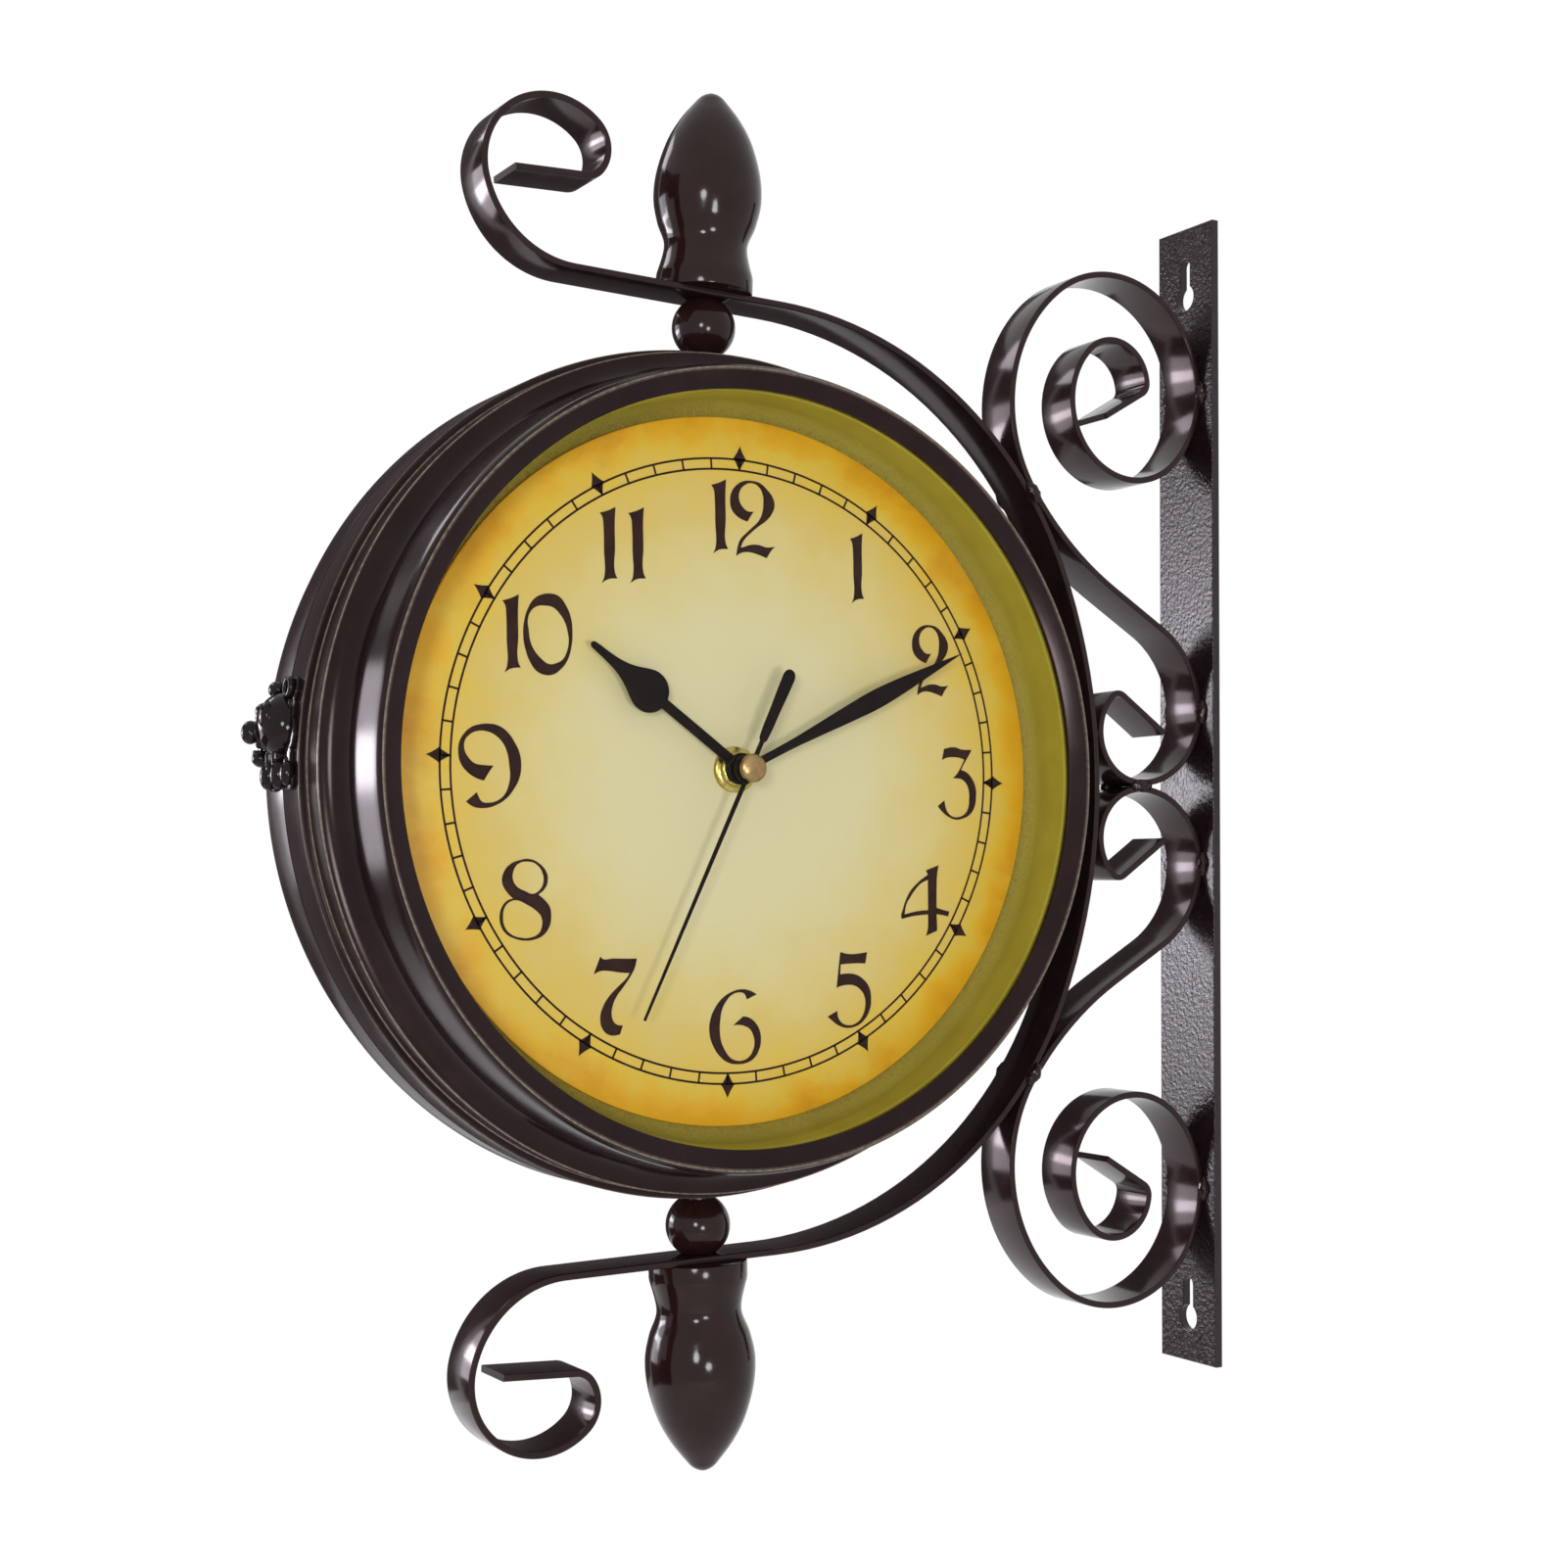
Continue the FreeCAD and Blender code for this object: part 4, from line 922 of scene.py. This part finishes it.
def aged_dial():
    material = finish(
        "aged_dial", shade(219, 210, 162), shade(226, 218, 176), 45, (0.38, 0.5), 1600, 0.06, gloss=0.3)
    tree = material.node_tree
    across, radius, _ = round_place(tree)
    mottle = node_in(tree, "ShaderNodeTexNoise", {
        "Vector": across, "Scale": 55, "Detail": 6, "Roughness": 0.62})
    ragged = node_in(tree, "ShaderNodeMath", {"operation": "MULTIPLY_ADD", 0: mottle, 1: 0.032, 2: radius})
    share = node_in(tree, "ShaderNodeMapRange", {"Value": ragged, "From Min": 0.016, "From Max": 0.116})
    ageing = coloured(node_in(tree, "ShaderNodeValToRGB", {"Fac": share}), ageing_stops)
    blotches = node_in(tree, "ShaderNodeTexNoise", {
        "Vector": across, "Scale": 26, "Detail": 9, "Roughness": 0.7})
    damp = node_in(tree, "ShaderNodeMapRange", {"Value": blotches, "From Min": 0.5, "From Max": 0.66})
    near_edge = node_in(tree, "ShaderNodeMapRange", {
        "Value": radius, "From Min": 0.084, "From Max": 0.099, "To Max": 0.75})
    stain = node_in(tree, "ShaderNodeMath", {"operation": "MULTIPLY", 0: damp, 1: near_edge})
    stained = node_in(tree, "ShaderNodeMix", {
        "data_type": "RGBA", "Factor": stain, "A": ageing, "B": stain_colour})
    wire(shader_of(material), {"Base Color": stained})
    return material


turn_both("dial", "printed", dial_profile, aged_dial(), "dial_face", closed=True, facets=224)


# Dial print: the twelve numbers, two thin rings with a stroke for every minute, and a star at each hour.
# Screen printed in dark brown ink, so it stands a hair proud of the paper; the print sits slightly turned.

print_turn = 0.87
number_circle = 68.0
ink_height = 0.06
ring_radii = (85.2, 88.2)
ring_line = 0.6
star_circle = 88.5
star_length = 3.7
star_width = 2.1
star_hollow = 2.3

digit_one = [
    "-8.8,12.3* -6.4,13.1 -4.0,14.3* -4.2,10.5 -4.05,3 -4.0,-3.9 -3.2,-5.5* -6,-5.9 -8.0,-7.1* "
    "-7.25,-5.3 -7.4,2 -7.6,8.2 -8.0,11.2"]
digit_two = [
    "5.0,5.8* 3.0,5.8 1.4,6.9 0.3,8.7 0.5,11.4 2.1,13.2 4.4,13.9 6.6,13.0 7.9,10.9 8.1,8.2 7.7,5.5 "
    "6.6,3.3 4.8,1.5 2.6,-0.5 0.8,-2.3 -0.1,-4.4 -0.6,-7.3* 0.8,-6.4 3.0,-5.9 5.7,-6.2 9.3,-7.2* "
    "10.9,-4.8 12.0,-3.7* 9.3,-4.1 6.6,-3.6 3.9,-3.8 1.9,-4.5 0.8,-4.8* 1.9,-2.6 4.4,-0.1 6.6,1.7 "
    "9.3,3.7 11.1,6.0 11.8,8.2 11.1,10.5 9.3,12.5 7.1,14.1 4.4,14.6 1.7,14.3 -0.6,13.0 -2.2,10.9 "
    "-2.7,8.5 -2.2,6.0 -0.6,4.2 1.4,3.2 3.0,2.8* 3.7,4.0"]
digit_three = [
    "2.3,6.0* 3.0,9.4* 6.6,10.0 9.3,9.4 12.9,9.4* 11.6,7.3 10.0,4.9 9.1,3.3* 11.1,2.6 12.9,1.0 "
    "14.3,-1.7 14.5,-4.8 13.8,-8.0 12.0,-10.2 9.8,-11.2 7.5,-11.6 4.8,-10.9 2.6,-9.5 0.8,-7.7* "
    "3.2,-5.9* 3.5,-7.5 4.4,-9.5 6.2,-10.7 8.0,-10.8 10.2,-10.0 11.6,-8.2 12.0,-5.7 11.9,-3.0 "
    "11.1,-1.0 9.5,0.4 8.0,0.7 6.2,0.7* 7.5,1.9 8.4,3.1 9.3,4.6 10.2,6.4* 8.4,6.9 6.2,7.0 3.9,6.7"]
digit_four = [
    "6.3,7.1* 10.8,8.7* 10.3,6.0 10.1,1 10.1,-3.9* 12.6,-4.6 14.6,-5.0* 14.2,-6.5* 12.2,-6.1 "
    "10.1,-5.8* 10.3,-9.3 10.3,-10.7* 6.4,-12.2* 7.0,-10.2 7.1,-5.9* 4.5,-6.1 1.8,-6.4 -2.0,-7.2* "
    "-2.3,-6.6 -1.7,-4.4 -0.7,-1.7 0.9,1.0 2.7,2.8 5.0,4.6 7.0,5.8*",
    "7.0,4.3* 4.7,3.3 2.7,1.5 0.9,-0.8 -0.5,-3.0 -1.1,-5.9* 1.8,-5.2 4.5,-4.8 7.1,-4.6*"]
digit_five = [
    "2.2,7.8* 5.1,7.2 8.2,7.3 11.3,7.7* 10.7,4.4* 8.2,4.5 5.1,4.4 2.4,4.2* 2.2,1.4* 4.6,1.6 7.3,1.3 "
    "10.0,-0.1 12.1,-2.6 12.7,-5.7 12.3,-8.9 10.5,-11.8 7.8,-13.6 4.6,-14.1 1.5,-13.2 -0.8,-11.6 "
    "-2.0,-10.7* 1.3,-9.1* 1.5,-10.7 2.8,-12.5 5.1,-13.3 7.8,-12.7 9.8,-10.7 10.7,-8.0 10.5,-5.3 "
    "9.1,-3.2 6.9,-1.9 4.6,-1.7 2.4,-2.0 1.0,-2.5* 1.5,2"]
digit_six = [
    "8.9,4.7* 5.7,3.3* 4.8,4.9 3.0,5.3 0.8,4.6 -1.0,2.8 -2.2,0.6 -2.8,-2.6 -2.9,-5.3 -2.4,-8.4 "
    "-1.0,-11.1 0.5,-12.9 2.6,-13.8 4.4,-13.8 6.4,-12.9 7.7,-11.1 8.2,-8.9 7.7,-6.6 6.6,-5.0 4.8,-4.1 "
    "3.0,-3.8 1.3,-3.9* 3.0,-2.6 4.6,-1.4* 6.6,-1.9 8.4,-3.2 9.8,-5.3 10.3,-8.0 9.8,-10.7 8.2,-13.2 "
    "5.7,-14.5 2.6,-14.8 -0.1,-14.3 -2.8,-12.5 -5.1,-9.3 -6.2,-5.7 -5.8,-1.7 -4.2,1.5 -1.9,4.0 "
    "0.8,5.5 3.9,6.2 6.6,5.8"]
digit_seven = [
    "-8.1,1.3* -6.1,6.2* -5.4,5.5 -2.3,5.6 1.8,5.5 5.0,5.5* 4.3,2.8 2.7,0.1 0.9,-2.3 -1.1,-4.8 "
    "-2.3,-7.5 -2.5,-10.2 -1.6,-12.0 -0.5,-12.6 0.9,-12.7* 0,-15.2* -2.7,-15.4 -5.0,-14.0 -6.0,-10.7 "
    "-5.4,-8.0 -3.6,-5.0 -0.9,-2.3 1.8,0.1 2.8,1.5* 0,1.7 -3.6,2.2 -5.9,2.2"]
digit_eight = [
    "-3.0,7.25 -0.1,6.2 2.2,3.7 2.6,1.5 1.7,-0.8 -0.1,-2.3* 1.7,-3.7 3.3,-5.7 3.7,-8.0 3.3,-10.7 "
    "1.5,-13.2 -0.8,-14.3 -3.5,-14.7 -6.6,-14.2 -9.3,-12.9 -10.9,-10.7 -11.3,-8.0 -10.7,-5.7 "
    "-9.1,-3.9 -7.5,-3.4* -9.3,-1.7 -10.7,1.0 -10.2,3.7 -8.4,5.8 -5.7,6.9",
    "-3.0,6.5 -0.8,5.8 1.0,3.5 1.3,1.0 0.1,-1.2 -1.9,-2.1 -3.9,-1.4 -6.2,-0.3 -7.5,1.5 -7.5,3.7 "
    "-6.2,5.8",
    "-6.2,-3.9 -3.5,-5.0 -0.8,-6.6 0.8,-8.4 1.0,-10.7 0.1,-12.7 -2.1,-13.8 -4.8,-13.9 -8.0,-12.9 "
    "-9.8,-10.9 -10.3,-8.4 -9.8,-5.7 -8.0,-4.1"]
digit_nine = [
    "-6.4,9.1 -3.7,8.7 -1.0,7.1 1.0,4.6 2.6,1.5 3.1,-2.1 2.6,-5.3 1.2,-8.0 -1.0,-10.7 -4.2,-12.7 "
    "-7.3,-13.5 -10.5,-13.2 -12.7,-11.9* -9.6,-9.3* -9.1,-10.4 -8.0,-11.8 -6.0,-12.0 -3.7,-11.4 "
    "-1.7,-9.8 -0.6,-7.5 -0.1,-4.8 -0.4,-1.7 -1.0,1.5 -2.4,4.2 -4.4,6.0 -6.9,7.0 -9.6,7.0 -11.8,6.0 "
    "-13.2,4.2 -13.2,1.9 -12.1,-0.1 -10.3,-1.6 -7.8,-2.0 -4.9,-2.1* -6.2,-3.9 -7.6,-6.2* -10.0,-5.5 "
    "-12.5,-3.9 -14.3,-1.7 -15,1.0 -14.8,3.7 -13.6,6.0 -11.4,8.0 -9.1,8.8"]
digit_nought = [
    "1.6,11.3 4.1,10.7 6.3,8.2 7.7,5.1 8.2,1.0 7.9,-3.0 6.8,-6.6 4.7,-9.3 2.3,-10.8 0,-10.9 "
    "-2.3,-10.0 -4.3,-7.5 -5.6,-4.4 -6.3,-0.8 -6.1,3.3 -5.0,6.9 -3.2,9.6 -0.9,10.9",
    "0,7.9 2.3,7.6 4.3,6.0 5.9,3.7 6.8,1.0 7.1,-1.7 6.5,-4.4 5.4,-6.4 3.6,-7.5 1.4,-7.9 -0.9,-6.6 "
    "-3.2,-4.1 -4.3,-1.7 -4.7,1.0 -5.0,3.7 -4.1,6.2 -2.3,7.6"]

# Each number is its digits, with width, height and a shift from its place on the number circle.
as_drawn = (1.0, 1.0, 0.0, 0.0)
numbers = {
    12: [(digit_one, as_drawn), (digit_two, as_drawn)],
    1: [(digit_one, (0.88, 0.97, 10.92, -1.75))],
    2: [(digit_two, (0.88, 0.965, 2.6, -2.26))],
    3: [(digit_three, as_drawn)],
    4: [(digit_four, as_drawn)],
    5: [(digit_five, as_drawn)],
    6: [(digit_six, as_drawn)],
    7: [(digit_seven, as_drawn)],
    8: [(digit_eight, as_drawn)],
    9: [(digit_nine, as_drawn)],
    10: [(digit_one, (1.0, 1.0, -3.7, -3.8)), (digit_nought, as_drawn)],
    11: [(digit_one, (1.0, 1.0, -0.4, -2.2)), (digit_one, (1.0, 1.0, 8.3, -1.6))],
}


def drawn(text, wide=1.0, tall=1.0, right=0.0, up=0.0):
    """An outline from text with one "across,up" for each knot, and a * after a sharp one."""
    outline = []
    for knot in text.split():
        x, y = [float(part) for part in knot.rstrip("*").split(",")]
        outline.append((right + wide * x, up + tall * y, knot.endswith("*")))
    return outline


def number_outlines():
    outlines = []
    for hour, digits in numbers.items():
        turn = math.radians(30 * hour + print_turn)
        middle_x = number_circle * math.sin(turn)
        middle_y = number_circle * math.cos(turn)
        for digit, (wide, tall, right, up) in digits:
            outlines += [drawn(text, wide, tall, middle_x + right, middle_y + up) for text in digit]
    return outlines


ring_tree, given = new_tree(
    "chapter_ring", Star="Object", Inner="Float", Outer="Float", Stroke="Float", Height="Float",
    Stars="Float", Turn="Vector", Ink="Material")
printed = []
for label in ("Inner", "Outer"):
    circle = node_in(ring_tree, "GeometryNodeCurvePrimitiveCircle", {
        "Resolution": 360, "Radius": given[label]})
    upright = node_in(ring_tree, "GeometryNodeSetCurveNormal", {
        "mode": "FREE", "Normal": (0, 0, 1), "Curve": circle})
    ribbon = node_in(ring_tree, "GeometryNodeCurvePrimitiveQuadrilateral", {
        "Width": given["Height"], "Height": given["Stroke"]})
    printed.append(node_in(ring_tree, "GeometryNodeCurveToMesh", {"Curve": upright, "Profile Curve": ribbon}))
both_radii = node_in(ring_tree, "ShaderNodeMath", {"operation": "ADD", 0: given["Inner"], 1: given["Outer"]})
half_way = node_in(ring_tree, "ShaderNodeMath", {"operation": "MULTIPLY", 0: both_radii, 1: 0.5})
apart = node_in(ring_tree, "ShaderNodeMath", {"operation": "SUBTRACT", 0: given["Outer"], 1: given["Inner"]})
stroke_size = node_in(ring_tree, "ShaderNodeCombineXYZ", {
    "X": given["Stroke"], "Y": apart, "Z": given["Height"]})
stroke = node_in(ring_tree, "GeometryNodeMeshCube", {"Size": stroke_size})
star_shape = node_in(ring_tree, "GeometryNodeObjectInfo", {"Object": given["Star"]}).outputs["Geometry"]
for count, radius, shape in ((60, half_way, stroke), (12, given["Stars"], star_shape)):
    places = node_in(ring_tree, "GeometryNodeMeshCircle", {"Vertices": count, "Radius": radius})
    where = node_in(ring_tree, "GeometryNodeInputPosition")
    radial = node_in(ring_tree, "FunctionNodeAlignRotationToVector", {
        "axis": "Y", "pivot_axis": "Z", "Vector": where})
    printed.append(node_in(ring_tree, "GeometryNodeInstanceOnPoints", {
        "Points": places, "Instance": shape, "Rotation": radial}))
print_join = node_in(ring_tree, "GeometryNodeJoinGeometry")
for marks in printed:
    wire(print_join, {"Geometry": marks})
turned_print = node_in(ring_tree, "GeometryNodeTransform", {
    "Geometry": print_join, "Rotation": given["Turn"]})
end_tree(ring_tree, turned_print, given["Ink"])

dial_ink = finish("dial_ink", shade(40, 24, 22), shade(58, 38, 32), 160, (0.4, 0.55), 1500, 0.08, gloss=0.06)
star_outline = []
for step in range(48):
    turn = math.radians(7.5 * step)
    across = math.copysign(abs(math.cos(turn)) ** star_hollow, math.cos(turn))
    along = math.copysign(abs(math.sin(turn)) ** star_hollow, math.sin(turn))
    star_outline.append((star_width * across, star_length * along, True))
star = bpy.data.objects.new("star", cut_from_sheet("star", [star_outline], ink_height, 0.0))
ink_lift = Matrix.Translation((0, 0, (dial_face_depth + ink_height / 2) * mm))
for side, place in sides.items():
    figures = cut_from_sheet("figures", number_outlines(), ink_height, 0.0)
    chapter = grown(
        "chapter", bpy.data.meshes.new("ring_marks"), ring_tree, Star=star, Inner=ring_radii[0] * mm,
        Outer=ring_radii[1] * mm, Stroke=ring_line * mm, Height=ink_height * mm, Stars=star_circle * mm,
        Turn=(0, 0, -math.radians(print_turn)), Ink=dial_ink)
    for name, mesh in (("_dial_numbers", figures), ("_chapter_ring", chapter)):
        mesh.transform(place @ ink_lift)
        lay(side + name, mesh, dial_ink, side + "_half")


# Movement: a black moulded quartz box on the back of the pan, with cover, wheels, setting knob and battery.
# A brass nut on its threaded bushing clamps it through the dial.

movement_plastic = finish(
    "movement_plastic", shade(22, 22, 24), shade(36, 36, 38), 200, (0.4, 0.55), 2600, 0.3, gloss=0.45)
battery_jacket = finish(
    "battery_jacket", shade(40, 42, 46), shade(64, 66, 70), 90, (0.22, 0.34), 1200, 0.05, metal=0.3)
wheel_brass = finish(
    "wheel_brass", shade(176, 138, 62), shade(214, 178, 98), 400, (0.18, 0.3), 1800, 0.1, metal=1.0)
nut_brass = finish(
    "nut_brass", shade(156, 140, 70), shade(190, 174, 98), 300, (0.16, 0.28), 1600, 0.08, metal=1.0)
nut_line = [
    (3.9, 28.02), (6.2, 28.02), (6.45, 28.2), (6.5, 28.5), (6.5, 29.3), (6.4, 29.65), (6.1, 29.85),
    (5.4, 30.1), (5.0, 30.15), (4.7, 30.6), (4.4, 30.8), (4.05, 30.85), (3.9, 30.7)]
for side in sides:
    coat(movement_plastic, side + "_movement_case", side + "_movement_cover", side + "_set_knob")
    coat(battery_jacket, side + "_battery")
    coat(wheel_brass, side + "_hour_wheel", side + "_minute_wheel", side + "_second_wheel")
turn_both("dial_nut", "brass", nut_line, nut_brass, "brass", closed=True, facets=96)


# Hands: thin blades stamped from sheet with a riveted hub each, painted black, and a domed brass cap.
# The hour hand is a spade, the minute hand a long leaf, the second hand a needle with a paddle for a tail.

hand_angles = {"hour": 305.3, "minute": 63.4, "second": 205.0}
hand_levels = {"hour": (32.6, 33.1), "minute": (35.3, 35.8), "second": (37.9, 38.2)}
hub_radii = {"hour": (4.5, 2.65), "minute": (3.8, 1.9), "second": (2.5, 0.95)}
hub_back = 0.6
hub_front = 0.5
blade_edge = 0.1
blade_halves = {
    "hour": "0,57.2 0.75,56.8 1.0,55.6 1.25,51.4 1.8,47.0 2.7,43.9 3.9,41.3 5.1,39.0 5.85,37.1 6.0,35.6 "
            "5.64,33.5 4.6,31.75 3.2,30.5 1.5,29.8* 1.5,0.0*",
    "minute": "0,81.2* 1.55,66.0 2.55,54.0 2.8,47.0 2.45,38.0 1.75,26.0 1.25,15.7 1.2,0.0*",
    "second": "0.42,76.6* 0.72,0.0 0.72,-8.4* 1.15,-8.9 1.4,-10.4 1.65,-18.0 1.95,-27.6 1.9,-29.2 1.25,-30.5 "
              "0.35,-30.95",
}
cap_line = [
    (0.0, 38.72), (3.7, 38.72), (3.95, 38.85), (4.0, 39.1), (4.0, 39.7), (3.9, 40.05), (3.6, 40.35),
    (3.0, 40.66), (2.2, 40.9), (1.2, 41.05), (0.0, 41.1)]


def hand_mesh(kind):
    back, front = hand_levels[kind]
    outer, bore = hub_radii[kind]
    half = drawn(blade_halves[kind])
    outline = half + [(-x, y, sharp) for x, y, sharp in reversed(half) if x > 0]
    blade = cut_from_sheet(kind, [outline], front - back, blade_edge)
    blade.transform(Matrix.Translation((0, 0, (back + front) / 2 * mm)))
    hub_line = [
        (bore, back - hub_back, 0), (outer, back - hub_back, 0.12),
        (outer, front + hub_front, 0.2), (bore, front + hub_front, 0.1)]
    hub = turned("hub", eased(hub_line), closed=True, facets=64)
    hand = joined(kind, [blade, hub])
    hand.transform(Matrix.Rotation(-math.radians(hand_angles[kind]), 4, "Z"))
    return hand


hand_black = finish(
    "hand_black", shade(20, 14, 13), shade(32, 24, 22), 260, (0.3, 0.42), 1900, 0.1, gloss=0.06)
cap_brass = finish(
    "cap_brass", shade(128, 104, 66), shade(172, 144, 100), 350, (0.24, 0.4), 1600, 0.1, metal=1.0)
for side, place in sides.items():
    for kind in hand_angles:
        hand = hand_mesh(kind)
        hand.transform(place)
        fit(side + "_" + kind + "_hand", "stamped", hand, hand_black)
turn_both("hand_cap", "domed", cap_line, cap_brass, "brass", facets=72)


# Glass: a flat disc of clear float glass with a ground edge, held behind the bezel's lip.
# It is nearly unseen, apart from a faint reflection.

glass_cover = 0.02
glass_profile = [(0.0, 41.94), (108.6, 41.94), (108.9, 42.2), (108.9, 43.15), (108.6, 43.42), (0.0, 43.42)]
clear_glass = finish("clear_glass", shade(60, 64, 62), shade(74, 78, 76), 20, (0.02, 0.05), 60, 0.004)
wire(shader_of(clear_glass), {"Alpha": glass_cover})
clear_glass.surface_render_method = "BLENDED"
turn_both("glass", "pane", glass_profile, clear_glass, "glass", facets=192)


# Studio: a white surround, a pale floor below the clock, two round lamps beside the camera, and softboxes
# to the left and behind that draw the bright lines on the gloss paint. A dark card behind the clock and
# above and below the left softbox keeps the paint dark beside those lines; only reflections show it.

fill_level = 0.46
floor_level = -600.0
floor_glow = 0.45
clock_middle = Vector((-reach * mm, 0, 0))
cool_white = (0.95, 0.91, 1.0)


def surround_strength(tree):
    """1 where a camera, mirror or clear-glass ray looks, so the background reads white."""
    path = node_in(tree, "ShaderNodeLightPath").outputs
    seen = node_in(tree, "ShaderNodeMath", {
        "operation": "MAXIMUM", 0: path["Is Camera Ray"], 1: path["Is Glossy Ray"]})
    return node_in(tree, "ShaderNodeMath", {"operation": "MAXIMUM", 0: seen, 1: path["Is Transmission Ray"]})


def studio_paint(name, colour, values):
    material = bpy.data.materials.new(name)
    material.use_nodes = True
    wire(shader_of(material), {"Base Color": colour, "Roughness": 0.9, **values})
    return material


def staged(name, mesh, material):
    mesh.materials.append(material)
    piece = stood(name, mesh)
    return piece


def lamp(name, shape, offset, width, height, radiance, tint=(1, 1, 1)):
    """An area lamp turned to the clock's middle; radiance is how bright its face looks."""
    light = bpy.data.lights.new(name, "AREA")
    light.shape = shape
    light.size = width
    light.size_y = height
    light.color = tint
    face = width * height * (math.pi / 4 if shape == "ELLIPSE" else 1)
    light.energy = radiance * math.pi * face
    stand = stood(name, light)
    stand.location = clock_middle + Vector(offset)
    stand.rotation_euler = (-Vector(offset)).to_track_quat("-Z", "Y").to_euler()
    return stand


world = bpy.data.worlds.new("studio")
world.use_nodes = True
bpy.context.scene.world = world
air = world.node_tree
level = node_in(air, "ShaderNodeMapRange", {
    "Value": surround_strength(air), "To Min": fill_level, "To Max": 1.0})
wire(air.nodes["Background"], {"Color": (1, 1, 1, 1), "Strength": level})

floor_paint = studio_paint("studio_floor", (0.8, 0.8, 0.8, 1), {
    "Specular IOR Level": 0.1, "Emission Color": (1, 1, 1, 1)})
floor_tree = floor_paint.node_tree
glow = node_in(floor_tree, "ShaderNodeMath", {
    "operation": "MULTIPLY", 0: surround_strength(floor_tree), 1: floor_glow})
wire(shader_of(floor_paint), {"Emission Strength": glow})
floor_line = [(radius, floor_level) for radius in (0.0, 600.0, 1200.0)]
staged("studio_floor", turned("floor", floor_line, facets=96), floor_paint)

lamp("left_bulb", "ELLIPSE", (-0.93, -1.3, 0.1), 0.33, 0.33, 27.4)
lamp("right_bulb", "ELLIPSE", (-0.28, -1.58, -0.24), 0.33, 0.33, 27.4)
left_softbox = lamp("left_softbox", "RECTANGLE", (-1.023, 1.17, 0.04), 0.64, 0.8, 4.6, cool_white)
lamp("left_strip", "RECTANGLE", (-1.018, 1.164, 0.06), 0.62, 0.22, 16.0, cool_white)
lamp("back_high_softbox", "RECTANGLE", (-0.6, 1.05, 0.95), 0.4, 0.3, 6.0, cool_white)


def card_sheet(middle, across, upright, columns, rows):
    """The four corners of a flat sheet, at distances from a middle along two directions."""
    (left, right), (low, high) = columns, rows
    around = ((left, low), (right, low), (right, high), (left, high))
    return [middle + across * a + upright * b for a, b in around]


card_corners = card_sheet(
    Vector((0, 1.25, 0)), Vector((1, 0, 0)), Vector((0, 0, 1)), (-0.74, 0.6), (-0.55, 1.0))
lamp_right, lamp_up, _ = left_softbox.rotation_euler.to_matrix().transposed()
for rows in ((-0.95, -0.41), (0.41, 0.95)):
    card_corners += card_sheet(left_softbox.location, lamp_right, lamp_up, (-0.34, 0.75), rows)
card_mesh = bpy.data.meshes.new("studio_card")
card_mesh.from_pydata(card_corners, [], [(0, 1, 2, 3), (4, 5, 6, 7), (8, 9, 10, 11)])
card = staged("studio_card", card_mesh, studio_paint("studio_card", (0.13, 0.105, 0.11, 1), {}))
card.visible_camera = False
card.visible_diffuse = False
card.visible_shadow = False


# Camera: where the photograph was taken from, a little below the middle and to the left of the front dial.
# A short portrait lens, held level within three degrees.

lens_length = 54.5
sensor_width = 36.0
camera_place = (-0.5004, -0.6086, -0.0348)
yaw = math.radians(29.63)
pitch = math.radians(2.64)
roll = math.radians(0.27)

camera = stood("camera", bpy.data.cameras.new("camera"))
camera.data.sensor_width = sensor_width
camera.data.lens = lens_length
ahead = Vector((math.sin(yaw) * math.cos(pitch), math.cos(yaw) * math.cos(pitch), math.sin(pitch)))
level_right = Vector((math.cos(yaw), -math.sin(yaw), 0))
level_up = level_right.cross(ahead)
right = level_right * math.cos(roll) + level_up * math.sin(roll)
upwards = level_up * math.cos(roll) - level_right * math.sin(roll)
turn_matrix = Matrix((right, upwards, -ahead)).transposed().to_4x4()
camera.matrix_world = Matrix.Translation(camera_place) @ turn_matrix
bpy.context.scene.camera = camera
bpy.context.scene.view_settings.view_transform = "Standard"
